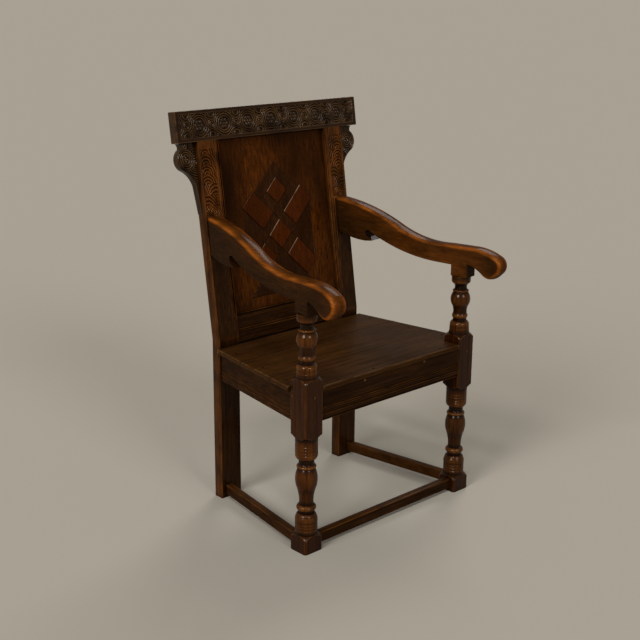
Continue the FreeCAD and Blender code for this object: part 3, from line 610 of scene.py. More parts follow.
def leaf_carving(across, up):
    """A knot, then curling leaves, then scales, by the distance outward from the middle and up."""
    middle = up - KNOT_TOP / 2
    lozenge = reeds(np.abs(across) + np.abs(middle) - KNOT_START, KNOT_RING)
    knot = np.where(np.hypot(across, middle) < KNOT_PELLET, PELLET_DEPTH, lozenge)
    curl = across * np.sign(np.sin(math.pi * up / LEAF_PITCH))
    leaves = reeds(up + LEAF_SLANT * curl + across ** 2 / LEAF_BOW, LEAF_RING)
    return np.where(up < KNOT_TOP, knot, np.where(up < LEAF_TOP, leaves, scales(across, up)))


def stile_relief(along, across):
    """Carving above the arm, and a chamfer and bead beside the panel."""
    field = window(along, FIELD_LOW, FIELD_HIGH, soft=1.5 * MM)
    field = field * window(across, FIELD_INNER, FIELD_OUTER, soft=1.5 * MM)
    out, up = hand_cut((across - FIELD_MIDDLE) / MM, (along - FIELD_LOW) / MM, seed=1)
    carving = FIELD_SKIN + FIELD_DEPTH * leaf_carving(out, up)
    level = across / MM
    mould = CHAMFER_DEPTH * held(1 - level / CHAMFER) + grooves(level, STILE_GROOVES)
    mould = mould * window(along, MOULD_LOW, STILE_TOP, soft=6 * MM)
    return (field * carving + mould + planed(along, across, waves=(40, 90), depth=0.12, seed=3)) * MM


def stile_polish(along, across):
    """The stile is redder above the arm, where hands and dusters rub it."""
    return STILE_POLISH * window(along, FIELD_LOW, STILE_TOP, soft=40 * MM)


def stile_place(side):
    """Puts the bar's points along the leg and up the sloping back, mitred at the bend."""
    skew = math.tan(RAKE / 2)

    def place(along, depth, across):
        x = side * (STILE_LOW.x + across)
        leg = joined(x, STILE_FRONT + depth, along - depth * skew * along / RAKE_HEIGHT)
        up = along - RAKE_HEIGHT
        back = raked(x, depth, up + depth * skew * (1 - up / BACK_LENGTH))
        return np.where((along < RAKE_HEIGHT)[..., None], leg, back)

    return place


def rear_stile(name, side):
    """A stile with a plain leg and a sloping upper part that is carved above the arm."""
    stations = np.concatenate([
        FOOT_STATIONS,
        np.linspace(LEG_START, RAKE_HEIGHT, num=60)[:-1],
        np.linspace(RAKE_HEIGHT, FIELD_START, num=40)[:-1],
        np.linspace(FIELD_START, STILE_TOP, num=240),
    ])
    piece = bar(f"stile_{name}", stations, stile_place(side), STILE_DEPTH, STILE_WIDTH,
                edge=1.6 * MM, steps=78, relief=stile_relief, deepest=DEEPEST_CARVING,
                plank=side * 2.1, flip=side < 0, rubbed=stile_polish)
    dress(piece, FRAME_UPRIGHT, "frame_oak", f"rear_stile_{name}")


# crest rail

CREST_EDGE = 2 * MM
CREST_STEP = 0.9 * MM
CREST_MIDDLE = 38.5
CREST_RIMS = (10.0, 67.0)
CREST_ENDS = (0.0, 286.0)
CREST_SKIN = 0.6
CREST_DEPTH = 2.8
GROUND_DEPTH = 0.9
PIT_DEPTH = 1.1
BUTTON_RISE = 0.9
ROUNDEL_PITCH = 76.0
ROSETTE_REACH = 15.0
EYELET_PIT = 3.6
EYELET_BUTTON = 2.6
LUNETTE_OUT = 27.0
LUNETTE_PIT = 4.0
LUNETTE_BUTTON = 1.8
PETAL_OUT = 0.62
PETAL_SIZE = 0.34
PETAL_RISE = 0.95
CORE_SIZE = 0.24


def rosette(distance, angle, petals, reach):
    """Round petals and a core that stand in a deep hollow."""
    turn = 2 * math.pi / petals
    off = np.mod(angle + turn / 2, turn) - turn / 2
    petal = np.hypot(distance * np.cos(off) - reach * PETAL_OUT, distance * np.sin(off))
    nearest = np.minimum(petal / (reach * PETAL_SIZE), distance / (reach * CORE_SIZE))
    return 1 - PETAL_RISE * np.sqrt(held(1 - nearest ** 2))


def crest_relief(along, up):
    """Interlaced roundels with rosettes, small eyelets between them and lunettes above and below."""
    x, z = hand_cut(along / MM, up / MM - CREST_MIDDLE, seed=2)
    near = np.round(x / ROUNDEL_PITCH) * ROUNDEL_PITCH
    between = (np.floor(x / ROUNDEL_PITCH) + 0.5) * ROUNDEL_PITCH
    roundel = np.hypot(x - near, z)
    petals = rosette(roundel, np.arctan2(z, x - near), petals=6, reach=ROSETTE_REACH)
    eyelet = np.hypot(x - between, z)
    button = np.sqrt(held(1 - (eyelet / EYELET_BUTTON) ** 2))
    lunette = np.hypot(x - between, np.abs(z) - LUNETTE_OUT)
    depth = ringed(GROUND_DEPTH, lunette, reach=20, ring=6.0)
    depth = np.where(lunette < LUNETTE_PIT, PIT_DEPTH - BUTTON_RISE * (lunette < LUNETTE_BUTTON), depth)
    depth = ringed(depth, roundel, reach=32, ring=5.6, start=ROSETTE_REACH)
    depth = np.where(roundel < ROSETTE_REACH, petals, depth)
    depth = ringed(depth, eyelet, reach=13, ring=4.7, start=EYELET_PIT)
    depth = np.where(eyelet < EYELET_PIT, 1 - BUTTON_RISE * button, depth)
    field = window(up / MM, *CREST_RIMS, soft=1) * window(np.abs(x), *CREST_ENDS, soft=1)
    uneven = planed(along, up, waves=(60, 150), depth=0.15, seed=5)
    return (field * (CREST_SKIN + CREST_DEPTH * depth) + uneven) * MM


def crest_rail():
    """The carved rail that is laid over the stiles."""

    def place(x, depth, up):
        return raked(x, depth, BACK_LENGTH + up)

    inner = CREST_HALF - CREST_EDGE
    even = np.linspace(-inner, inner, round(CREST_HALF * 2 / CREST_STEP))
    turn = CREST_EDGE * (1 - np.cos(QUARTER))
    stations = np.concatenate([turn[:-1] - CREST_HALF, even, CREST_HALF - turn[-2::-1]])
    piece = bar("crest_board", stations, place, thickness=28 * MM, height=76 * MM, edge=CREST_EDGE,
                steps=84, relief=crest_relief, deepest=DEEPEST_CARVING, plank=4.4, flip=True,
                end_round=CREST_EDGE)
    dress(piece, CARVED_ACROSS, "carved_oak", "crest_rail")


# scroll brackets

BRACKET_SETBACK = 12 * MM
BRACKET_THICKNESS = (STILE_DEPTH - BRACKET_SETBACK) / MM
BRACKET_EDGE = 1.0
BRACKET_SKIN = 0.2
BRACKET_DEPTH = 2.6
BRACKET_DEEPEST = 3.0
BRACKET_DIRT = 0.4
BRACKET_RIM = 2.5
BRACKET_TOP = 50.0
BRACKET_DROP = 178.0
LEAST_REACH = 0.5
FIRST_ROW = 0.3
LAST_ROW = BRACKET_DROP - 0.5
BRACKET_POINTS = 77
VOLUTE_OUT = 30.0
VOLUTE_DROP = 40.0
VOLUTE_EYE = 8.5
GOUGE_OUT = -2.0
GOUGE_DROP = 52.0
FLUTES = 2.2
FLUTE_DEPTH = 0.8


def bracket_reach(drop):
    """How far the bracket stands out from the stile at a drop below the crest."""
    outline = [(0, 0), (BRACKET_TOP, 0), (43, 15, -3), (43, 66, 14), (9, 108, -6),
               (0.8, BRACKET_DROP), (0, BRACKET_DROP)]
    points, _ = trace(outline, step=1.0)
    points = points[points[:, 0] > LEAST_REACH]
    order = np.argsort(points[:, 1])
    return np.interp(drop, points[order, 1], points[order, 0])


def bracket_relief(out, drop, reach):
    """A ringed volute, arcs in the corner above it, gouge cuts beside it and flutes down the tail."""
    rim = held((reach - out) / BRACKET_RIM)
    out, drop = hand_cut(out, drop, seed=4)
    volute = np.hypot(out - VOLUTE_OUT, drop - VOLUTE_DROP)
    angle = np.arctan2(drop - VOLUTE_DROP, out - VOLUTE_OUT)
    corner = np.hypot(out - BRACKET_TOP, drop)
    gouge = np.hypot(out - GOUGE_OUT, drop - GOUGE_DROP)
    depth = reeds(out / np.maximum(reach, 1) * FLUTES, 1.0) * FLUTE_DEPTH
    depth = ringed(depth, gouge, reach=40, ring=5.6)
    depth = ringed(depth, corner, reach=26, ring=5.5)
    depth = ringed(depth, volute, reach=25, ring=5.5, start=VOLUTE_EYE)
    depth = np.where(volute < VOLUTE_EYE, rosette(volute, angle, petals=4, reach=VOLUTE_EYE), depth)
    return BRACKET_SKIN + BRACKET_DEPTH * depth * rim


def scroll_bracket(name, side):
    """A carved bracket with a rounded outer edge and a flat back, row by row from the crest down."""
    drop = np.linspace(FIRST_ROW, LAST_ROW, num=230)[:, None]
    reach = bracket_reach(drop)
    edge = np.minimum(BRACKET_EDGE, reach / 4)
    front = np.linspace(0, 1, BRACKET_POINTS) * (reach - edge)
    cut = bracket_relief(front, drop, reach - edge)
    rise = edge * np.sin(QUARTER)
    fall = edge * np.cos(QUARTER)
    back = BRACKET_THICKNESS + 0 * reach
    out = np.hstack([front, reach - edge + rise[:, 1:], reach - edge + fall, 0 * reach])
    depth = np.hstack([cut, BRACKET_SKIN + edge - fall[:, 1:], back - edge + rise, back])
    dirt_and_shade = np.full_like(out, BRACKET_DIRT)
    # the deeper the carving, the darker: dirt and painted shade in the hollows
    dirt_and_shade[:, :BRACKET_POINTS] = held(cut / BRACKET_DEEPEST)
    x = side * (STILE_HIGH.x + out * MM)
    rings = raked(x, BRACKET_SETBACK + depth * MM, BACK_LENGTH - drop * MM)
    piece = loft(f"bracket_{name}", rings, dirt_and_shade, plank=side * 3.3, flip=side > 0)
    dress(piece, CARVED_UPRIGHT, "carved_oak", f"scroll_bracket_{name}")


# panel

PANEL_SETBACK = 11 * MM
PANEL_LOW = 48 * MM
PANEL_HIGH = BACK_LENGTH + 8 * MM
CRACK_X = -90.0
CRACK_SWAY = 2.5
CRACK_WAVES = 11
CRACK_WIDTH = 1.6
CRACK_DEPTH = 0.7
CRACK_LOW = 425 * MM
PANEL_EDGE_DARKENING = 0.7
EDGE_DARKENING_REACH = 75 * MM
EDGE_DARKENING_SWAY = 12 * MM


def panel_relief(along, across):
    """A hand-planed face with one long shrinkage crack."""
    x = across - PANEL_HALF
    middle = CRACK_X + CRACK_SWAY * np.sin(along * CRACK_WAVES)
    crack = grooves(x / MM, [(middle, CRACK_WIDTH, CRACK_DEPTH)])
    crack = crack * window(along, CRACK_LOW, BACK_LENGTH, soft=30 * MM)
    return (crack + planed(along, x, waves=(9, 45), depth=0.35, seed=7)) * MM


def panel_edge_darkening(along, across):
    """Makes the panel darker towards its edges, along a wavering line."""
    side = np.minimum(across, PANEL_HALF * 2 - across)
    end = np.minimum(along - PANEL_LOW, PANEL_HIGH - along)
    sway = ripple(along, across, seed=9, waves=(25, 30))
    reach = np.minimum(side, end) + EDGE_DARKENING_SWAY * sway
    return PANEL_EDGE_DARKENING * held(1 - reach / EDGE_DARKENING_REACH)


def back_panel():
    """The board that fills the back, in the grooves of its frame."""

    def place(up, depth, across):
        return raked(across - PANEL_HALF, depth + PANEL_SETBACK, up)

    stations = np.linspace(PANEL_LOW, PANEL_HIGH, num=160)
    piece = bar("panel_board", stations, place, thickness=10 * MM, height=PANEL_HALF * 2, edge=1 * MM,
                steps=370, relief=panel_relief, deepest=1.6 * MM, plank=1.3, darkened=panel_edge_darkening)
    dress(piece, PANEL, "panel_oak", "back_panel")


# lozenges on the panel

LOZENGE_UP = 238 * MM
STRAP = 53.0
STRAP_GAP = 26.0
STRAP_LENGTH = 87.0
DIAMOND = 106.0
HEART = 47.0
SIDE_REACH = 113.0
FOOT_REACH = 152.0
LIGHT_RELIEF = 3.5
DARK_RELIEF = 1.5
TILE_ROUND = 1.4
TILE_RIM = 0.8
TILE_SUNK = 1.5
TILE_LEAN = 0.004
LEAN_STEP = 2.3
TILE_PLANK = 1.7
# edges that face these directions get a painted highlight, with a strength for each tile
LIT_FROM = 0.75
UPPER_LEFT = (-0.707, 0.707)
RIGHT = (1.0, 0.0)
LIGHT_TILE_HIGHLIGHTS = (1.0, 0.7, 1.0, 0.12, 1.0, 0.6)
DARK_TILE_HIGHLIGHTS = (0.5, 0.5, 0.5, 0.5, 0.3, 0.3, 0.3, 0.3, 1.0, 0.3, 0.6)


def rectangle(down, up, length_down, length_up):
    """Corners of a tile along the two slanting directions, down to the right and up to the right."""
    far_down = down + length_down
    far_up = up + length_up
    return [(down, up), (far_down, up), (far_down, far_up), (down, far_up)]


def cross_tiles(start, length):
    """Four equal tiles on the arms of the slanting cross."""
    half = STRAP / 2
    starts = (start, -start - length)
    rising = [rectangle(-half, up, STRAP, length) for up in starts]
    falling = [rectangle(down, -half, length, STRAP) for down in starts]
    return rising + falling


def slanted(points):
    """Turns the lozenges' own slanting directions into across and up the panel."""
    return np.stack([points[:, 0] + points[:, 1], points[:, 1] - points[:, 0]], axis=1) / math.sqrt(2)


def tile_rings(corners, relief, lean, lit):
    """Rings of one tile from the panel up to its rounded face, and its painted highlight: how far each
    point faces the light.
    """
    points, _ = trace(corners, step=6.0)
    normal = outward(points)
    # points on edges that face the light get a painted highlight
    facing = held((slanted(normal) @ np.array(lit) - LIT_FROM) / (1 - LIT_FROM))
    turn = np.linspace(0, math.pi / 2, CORNER_STEPS)
    insets = [0.0, *(TILE_ROUND * (1 - np.cos(turn))), TILE_ROUND + TILE_RIM]
    heights = [-TILE_SUNK, *(relief - TILE_ROUND + TILE_ROUND * np.sin(turn)), relief]
    leaning = TILE_LEAN * lean * (points[:, 0] - points[:, 0].mean())
    rings, pale = [], []
    for number, (inset, height) in enumerate(zip(insets, heights)):
        flat = slanted(points - normal * inset) * MM
        rings.append(raked(flat[:, 0], PANEL_SETBACK - (height + leaning) * MM, flat[:, 1] + LOZENGE_UP))
        pale.append(facing if 0 < number < CORNER_STEPS else 0 * facing)
    return np.array(rings), np.concatenate(pale)


def tile_set(name, tiles, relief, lit, shares, material, slot, node):
    """One piece made of many tiles. The shares say how bright the painted highlight on the lit edge of
    each tile is.
    """
    points, faces, planks, pale = [], [], [], []
    for number, corners in enumerate(tiles):
        rings, edge = tile_rings(corners, relief, math.sin(number * LEAN_STEP), lit)
        faces += ring_faces(*rings.shape[:2], offset=len(points))
        points += rings.reshape(-1, 3).tolist()
        planks += [number * TILE_PLANK] * len(edge)
        pale += (edge * shares[number]).tolist()
    piece = new_piece(name, points, faces, plank=planks, wear_and_highlight=pale)
    dress(piece, material, slot, node)


def lozenges():
    """A slanting cross of light and dark tiles, a bordered diamond above it and triangles round it."""
    half = STRAP / 2
    border = (DIAMOND - HEART) / 2
    heart = half + border
    left = -half - DIAMOND
    side_far = SIDE_REACH * math.sqrt(2) - half
    foot_far = FOOT_REACH * math.sqrt(2) - half
    light = cross_tiles(half + STRAP_GAP, STRAP_LENGTH)
    light += [rectangle(-half, -half, STRAP, STRAP), rectangle(-heart - HEART, heart, HEART, HEART)]
    dark = cross_tiles(half, STRAP_GAP)
    dark += [
        rectangle(left, half, border, DIAMOND),
        rectangle(-half - border, half, border, DIAMOND),
        rectangle(left + border, half, HEART, border),
        rectangle(left + border, heart + HEART, HEART, border),
        [(half, half), (side_far, half), (half, side_far)],
        [(-half, -half), (-side_far, -half), (-half, -side_far)],
        [(half, -half), (half, -foot_far), (foot_far, -half)],
    ]
    tile_set("lozenges_light", light, LIGHT_RELIEF, UPPER_LEFT, LIGHT_TILE_HIGHLIGHTS,
             LIGHT_TILE, "light_lozenge", "panel_lozenges_light")
    tile_set("lozenges_dark", dark, DARK_RELIEF, RIGHT, DARK_TILE_HIGHLIGHTS,
             DARK_TILE, "dark_lozenge", "panel_lozenges_dark")


# rails and stretchers

RAIL_TUCK = 1 * MM
SIDE_TUCK = 2 * MM
RAIL_EDGE = 1.5 * MM
STRETCHER_EDGE = 3 * MM
RAIL_DEEPEST = 2.5 * MM
PLAIN_STEPS = 12
LOWER_SETBACK = 3 * MM
LOWER_DROP = 15 * MM


def moulded(waves, depth, seed, cuts=(), chamfer=(0, 1, 0)):
    """The relief of a planed face with scratched grooves, and a chamfer between two levels to a depth."""
    start, end, fall = chamfer

    def relief(along, up):
        level = up / MM
        slope = fall * held((level - start) / (end - start))
        return (grooves(level, cuts) + slope + planed(along, up, waves, depth, seed)) * MM

    return relief


FRONT_RAIL = moulded(waves=(25, 60), depth=0.2, seed=2, chamfer=(8, 0, 2.5),
                     cuts=((33, 4, 2.0), (27.5, 3, 1.4), (17, 5, 1.8)))
SIDE_RAIL = moulded(waves=(25, 60), depth=0.2, seed=4, cuts=((27, 3.5, 1.8), (16, 3.5, 1.8)))
LOWER_RAIL = moulded(waves=(25, 60), depth=0.15, seed=6, chamfer=(63, 72, 4.5),
                     cuts=((28, 3, 1.6), (34, 3, 1.6), (62, 2.5, 1.2)))
PLAIN = moulded(waves=(30, 80), depth=0.25, seed=8)


def cross_bar(name, node, half, relief, steps, edge, plank):
    """A rail or stretcher that runs straight across the chair."""
    low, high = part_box(node)

    def place(x, depth, up):
        return joined(x, low.y + depth, low.z + up)

    piece = bar(name, np.linspace(-half, half, num=160), place, high.y - low.y, high.z - low.z,
                edge, steps, relief, RAIL_DEEPEST, plank, flip=True)
    dress(piece, FRAME_ACROSS, "frame_oak", node)


def splayed_bar(name, node, side, relief, inset, thickness, steps, edge):
    """A rail or stretcher from a front post back to its stile."""
    low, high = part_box(node)

    def place(y, depth, up):
        line = POST_HIGH.x - inset - (y - POST_REAR) * SPLAY
        return joined(side * (line - depth), y, low.z + up)

    stations = np.linspace(POST_REAR - SIDE_TUCK, STILE_FRONT + SIDE_TUCK, num=120)
    piece = bar(name, stations, place, thickness, high.z - low.z, edge, steps,
                relief, RAIL_DEEPEST, plank=side * 0.9, flip=side > 0)
    dress(piece, FRAME_DEEP, "frame_oak", node)


def lower_rail(half):
    """The rail under the panel, at the foot of the sloping back."""

    def place(x, depth, up):
        return raked(x, depth + LOWER_SETBACK, up - LOWER_DROP)

    piece = bar("back_foot_rail", np.linspace(-half, half, num=120), place, thickness=22 * MM,
                height=72 * MM, edge=RAIL_EDGE, steps=72, relief=LOWER_RAIL, deepest=RAIL_DEEPEST,
                plank=3.1, flip=True)
    dress(piece, FRAME_ACROSS, "frame_oak", "lower_back_rail")


def rails():
    """All rails and stretchers, with their ends just inside the posts and stiles."""
    posts = POST_LOW.x + RAIL_TUCK
    stiles = STILE_LOW.x + RAIL_TUCK
    cross_bar("front_rail", "front_seat_rail", posts, FRONT_RAIL, steps=90, edge=RAIL_EDGE, plank=1.1)
    cross_bar("rear_rail", "rear_seat_rail", stiles, PLAIN, PLAIN_STEPS, RAIL_EDGE, plank=1.9)
    cross_bar("front_foot_rail", "front_stretcher", posts, PLAIN, PLAIN_STEPS, STRETCHER_EDGE, plank=2.7)
    lower_rail(stiles)
    for name, side in SIDES.items():
        splayed_bar(f"side_rail_{name}", f"side_seat_rail_{name}", side, SIDE_RAIL,
                    inset=3 * MM, thickness=24 * MM, steps=80, edge=RAIL_EDGE)
        splayed_bar(f"side_foot_rail_{name}", f"side_stretcher_{name}", side, PLAIN,
                    inset=12 * MM, thickness=20 * MM, steps=PLAIN_STEPS, edge=STRETCHER_EDGE)


# plugs in the front rail: share of the radius and how far each ring stands out

PLUG_PLACES = (-99, 107)
PLUG_HEIGHT = 393.0
PLUG_RADIUS = 3.2
PLUG_SIDES = 24
PLUG_RINGS = ((1.0, -1.0), (1.0, 0.3), (0.92, 0.6), (0.7, 0.85), (0.3, 0.95))


def circle(sides):
    """Angles of evenly spaced points round a circle."""
    return np.linspace(0, 2 * math.pi, sides + 1)[:-1]


def rail_plugs():
    """Small wooden plugs with domed heads."""
    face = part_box("front_seat_rail")[0].y
    turn = circle(PLUG_SIDES)
    points, faces = [], []
    for middle in PLUG_PLACES:
        rings = []
        for share, stand in PLUG_RINGS:
            x = (middle + PLUG_RADIUS * share * np.cos(turn)) * MM
            z = (PLUG_HEIGHT + PLUG_RADIUS * share * np.sin(turn)) * MM
            rings.append(joined(x, face - stand * MM, z))
        faces += ring_faces(len(rings), PLUG_SIDES, offset=len(points))
        points += np.concatenate(rings).tolist()
    dress(new_piece("front_rail_plugs", points, faces, plank=5.2), PLUG, "peg_oak")


# seat boards

BOARD_ROUND = 2.0 * MM
SEAM_ROUND = 0.4 * MM
BOARD_OVERHANG = 8 * MM
BOARD_FIT = 0.2 * MM
EDGE_GUARD = 1 * MM
CHIP_DEPTH = 0.6 * MM
CHIP_FROM = 0.25


def seat_side(y):
    """A corner on the right side of the seat, at a distance from front to back."""
    return POST_HIGH.x + BOARD_OVERHANG - (y - POST_REAR) * SPLAY, y


def board_rings(points, low, high, seams):
    """Rings of a board from its underside to its top, with soft outer edges and tight dirty seams."""
    normal = outward(points)
    at_seam = np.zeros(len(points), bool)
    for seam in seams:
        at_seam |= np.abs(points[:, 1] - seam) < SEAM_ROUND
    soft = np.where(at_seam, SEAM_ROUND, BOARD_ROUND)
    levels = [(soft + EDGE_GUARD, low)]
    levels += [(soft * (1 - math.sin(angle)), low + soft * (1 - math.cos(angle))) for angle in QUARTER]
    levels += [(0 * soft, low + soft + EDGE_GUARD), (0 * soft, high - soft - EDGE_GUARD)]
    levels += [(soft * (1 - math.cos(angle)), high - soft * (1 - math.sin(angle))) for angle in QUARTER]
    levels += [(soft + EDGE_GUARD, high)]
    rings = []
    for inset, level in levels:
        flat = points - normal * inset[:, None]
        rings.append(joined(*flat.T, level))
    dirt_and_shade = np.tile(at_seam.astype(float), (len(rings), 1))
    dirt_and_shade[[0, -1]] = 0
    return rings, dirt_and_shade


def seat_board(place, right_half, seams, plank):
    """A board given by the corners of its right half from front to back, with slightly chipped edges."""
    node = f"seat_board_{place}"
    low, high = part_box(node)
    corners = right_half + [(-x, y) for x, y in reversed(right_half)]
    points, _ = trace(corners, step=7 * MM)
    rings, dirt_and_shade = board_rings(points, low.z, high.z, seams)
    rough = ripple(*points.T, seed=plank, waves=(260, 310))
    chip = CHIP_DEPTH * held(rough - CHIP_FROM)
    for number, ring in enumerate(rings):
        ring[:, :2] -= outward(points) * chip[:, None] * number / len(rings)
    piece = loft(f"seat_plank_{place}", rings, dirt_and_shade, plank)
    dress(piece, SEAT, "seat_oak", node)


def seat_boards():
    """Three boards, notched round the posts in front and the stiles behind."""
    front_low, front_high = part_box("seat_board_front")
    middle_low, middle_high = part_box("seat_board_middle")
    rear_low, rear_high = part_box("seat_board_rear")
    post_x = POST_LOW.x - BOARD_FIT
    post_y = POST_REAR + BOARD_FIT
    stile_x = STILE_LOW.x - BOARD_FIT
    stile_y = STILE_FRONT - BOARD_FIT
    front = [(post_x, front_low.y), (post_x, post_y), seat_side(post_y), seat_side(front_high.y)]
    middle = [seat_side(middle_low.y), seat_side(middle_high.y)]
    rear = [seat_side(rear_low.y), seat_side(stile_y), (stile_x, stile_y), (stile_x, rear_high.y)]
    seat_board("front", front, seams=[front_high.y], plank=1.0)
    seat_board("middle", middle, seams=[middle_low.y, middle_high.y], plank=2.6)
    seat_board("rear", rear, seams=[rear_low.y], plank=4.1)


# scroll arms

ARM_HALF = 20.0
ARM_REST = 583.0
ARM_STILE_X = 217 * MM
ARM_STILE_BACK = 390 * MM
ARM_SPLAY = math.atan2(POST_X - ARM_STILE_X, ARM_STILE_BACK)
ARM_LENGTH = 392.9
ARM_END = ARM_LENGTH + 10
ARM_TURN = np.linspace(0, math.pi / 2, CORNER_STEPS + 3)
PLAIN_ROUND = 1.8
HAND_ROUND = 8.5
HAND_PIECES = range(11, 18)
HOOK_ROUND = 0.5
HOOK_PIECES = range(5, 8)
CROWN = 1.6
CROWN_SHARES = np.linspace(-1, 1, 9)[1:-1]
CROWN_POLISH = 0.15
# how much lighter the front of the inner face is: partly polish, partly painted sheen
INNER_POLISH_AND_SHEEN = 0.19
POLISH_ANGLES = (0.0, 0.35, 0.8, 1.2, math.pi / 2)
POLISH_SHARES = (0.3, 0.5, 0.7, 0.45, 0.05)


def arm_outline():
    """Side view of the arm: distance behind the post and height above its top, with bulges."""
    length = ARM_LENGTH
    return [
        # underside, from the post to the nicked spur and the stile
        (-27, 0), (20, 0), (20, 28), (64, 28), (length - 114, 74, 11.7), (length - 101, 58, -14),
        (length - 117, 51), (length - 94, 48), (length, 65, 5), (ARM_END, 65),
        # top, from the stile to the front
        (ARM_END, 153), (length, 153), (195, 102, 9.3), (35, 77, -10.3), (-40, 79),
        # scroll
        (-106, 65, 3.7), (-112, 19, 14.3), (-66, 19, 12), (-27, 35, -4),
    ]


def arm_rings(side):
    """The arm's outline as rings from its left face to its right, each with its offset and its polish,
    which on the inner face is partly a painted sheen.
    """
    points, owner = trace(arm_outline(), step=2.5)
    normal = outward(points)
    hand = smooth_round(np.isin(owner, HAND_PIECES).astype(float), passes=12)
    hook = smooth_round(np.isin(owner, HOOK_PIECES).astype(float), passes=1)
    soft = PLAIN_ROUND + (HAND_ROUND - PLAIN_ROUND) * hand + (HOOK_ROUND - PLAIN_ROUND) * hook
    # the inner face gets lighter towards the front: partly rubbing by hands, partly a painted sheen
    inner = INNER_POLISH_AND_SHEEN * window(points[:, 0], 0, ARM_LENGTH / 2, ARM_LENGTH / 3)

    def rounded(edge):
        rings = []
        for angle in ARM_TURN[::edge]:
            inset = soft * (1 - math.cos(angle))
            across = edge * (ARM_HALF - soft * (1 - math.sin(angle)))
            polish = hand * np.interp(angle, POLISH_ANGLES, POLISH_SHARES)
            if edge == -side:
                polish = np.maximum(polish, inner)
            rings.append((points - normal * inset[:, None], across, polish))
        return rings

    crown = []
    for share in CROWN_SHARES:
        swell = CROWN * hand * (1 - share ** 2)
        polish = hand * (CROWN_POLISH + (POLISH_SHARES[0] - CROWN_POLISH) * share ** 2)
        crown.append((points + normal * swell[:, None], share * (ARM_HALF - soft), polish))
    return rounded(-1) + crown + rounded(1)


def scroll_arm(name, side):
    """A shaped arm, softly rounded where hands polish it, and lighter on the front of its inner face,
    partly from rubbing and partly a painted sheen.
    """
    solid, wear_and_highlight = [], []
    for flat, across, polish in arm_rings(side):
        back = flat[:, 0] * MM
        out = across * MM
        x = side * POST_X - side * back * math.sin(ARM_SPLAY) + out * math.cos(ARM_SPLAY)
        y = POST_Y + back * math.cos(ARM_SPLAY) + side * out * math.sin(ARM_SPLAY)
        solid.append(joined(x, y, (ARM_REST + flat[:, 1]) * MM))
        wear_and_highlight.append(polish)
    piece = loft(f"arm_{name}", solid, plank=side * 1.6, wear_and_highlight=wear_and_highlight)
    dress(piece, ARM, "arm_oak", f"scroll_arm_{name}")


# pegs and pins

def pegs():
    """The pegs and pins keep their own solids and get the wood's finish."""
    for node in ("rail_pegs", "arm_pegs", "bracket_pins", "seat_pins"):
        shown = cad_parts[node]
        shown.data.materials.clear()
        shown.data.materials.append(PEG)


# floor, light and camera

FLOOR_REACH = 200.0
FLOOR_SIDES = 96
FLOOR_COLOUR = (0.38, 0.348, 0.295)
EYE = Vector((-1.94934, -2.0364, 1.30803))
TARGET = Vector((0.01291, 0.0864, 0.45692))
ROLL = math.radians(0.4155)
FOCAL_PIXELS = 1169.48
FRAME_PIXELS = 640
SENSOR = 36.0
LAMP_DISTANCE = 4.0
SKY_COLOUR = (1.0, 0.92, 0.79)
AMBIENT = 0.2
BACKGROUND = 0.355

# degrees to the right of the camera, degrees above the floor, spread in degrees and strength
LAMPS = {
    "key_light": (-38, 29, 24, 2.15),
    "top_light": (-14, 62, 8, 0.5),
    "fill_light": (34, 28, 22, 1.1),
    "rim_light": (163, 44, 22, 0.9),
}


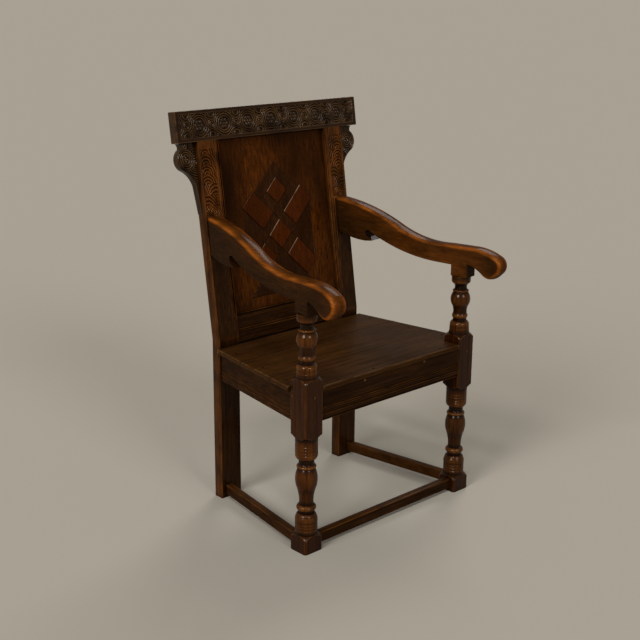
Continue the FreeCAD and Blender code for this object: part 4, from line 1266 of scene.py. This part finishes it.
def floor():
    """A plain pale floor that runs to the horizon."""
    mesh = bpy.data.meshes.new("floor")
    turn = circle(FLOOR_SIDES)
    ring = joined(FLOOR_REACH * np.cos(turn), FLOOR_REACH * np.sin(turn), 0.0)
    mesh.from_pydata(ring.tolist(), [], [list(range(FLOOR_SIDES))])
    material = bpy.data.materials.new("floor_plain")
    material.use_nodes = True
    tree = material.node_tree
    fill(tree, tree.nodes["Principled BSDF"],
         {"Base Color": FLOOR_COLOUR, "Roughness": 0.9, "Specular IOR Level": 0.0})
    mesh.materials.append(material)
    placed("floor", mesh)


def studio_lamp(name, azimuth, elevation, spread, strength):
    """A far soft lamp that faces the chair."""
    heading = math.atan2(EYE.y - TARGET.y, EYE.x - TARGET.x) + math.radians(azimuth)
    rise = math.radians(elevation)
    flat = math.cos(rise)
    away = Vector((math.cos(heading) * flat, math.sin(heading) * flat, math.sin(rise)))
    light = bpy.data.lights.new(name, "SUN")
    light.angle = math.radians(spread)
    light.energy = strength
    lamp = placed(name, light)
    lamp.location = away * LAMP_DISTANCE
    lamp.rotation_euler = (-away).to_track_quat("-Z", "Y").to_euler()


def lights():
    """The lamps, and a world that is brighter to the eye and in reflections than as a light."""
    for name, setting in LAMPS.items():
        studio_lamp(name, *setting)
    world = bpy.data.worlds.new("studio")
    world.use_nodes = True
    tree = world.node_tree
    path = add(tree, "LightPath", {})
    seen = path.outputs["Is Camera Ray"]
    for ray in ("Is Glossy Ray", "Is Transmission Ray"):
        seen = combine(tree, "MAXIMUM", seen, path.outputs[ray])
    strength = remap(tree, seen, (0, 1), (AMBIENT, BACKGROUND))
    fill(tree, tree.nodes["Background"], {"Color": SKY_COLOUR, "Strength": strength})
    bpy.context.scene.world = world


def camera():
    """The photograph's viewpoint, with its small roll."""
    aim = (TARGET - EYE).to_track_quat("-Z", "Y").to_matrix().to_4x4()
    lens = bpy.data.cameras.new("view")
    lens.sensor_width = SENSOR
    lens.lens = FOCAL_PIXELS / FRAME_PIXELS * SENSOR
    viewer = placed("view", lens)
    viewer.matrix_world = Matrix.Translation(EYE) @ aim @ Matrix.Rotation(ROLL, 4, "Z")
    bpy.context.scene.camera = viewer


for side_name, side_sign in SIDES.items():
    front_post(side_name, side_sign)
    rear_stile(side_name, side_sign)
    scroll_bracket(side_name, side_sign)
    scroll_arm(side_name, side_sign)
crest_rail()
back_panel()
lozenges()
rails()
rail_plugs()
seat_boards()
pegs()
floor()
lights()
camera()
bpy.context.scene.view_settings.view_transform = "Standard"
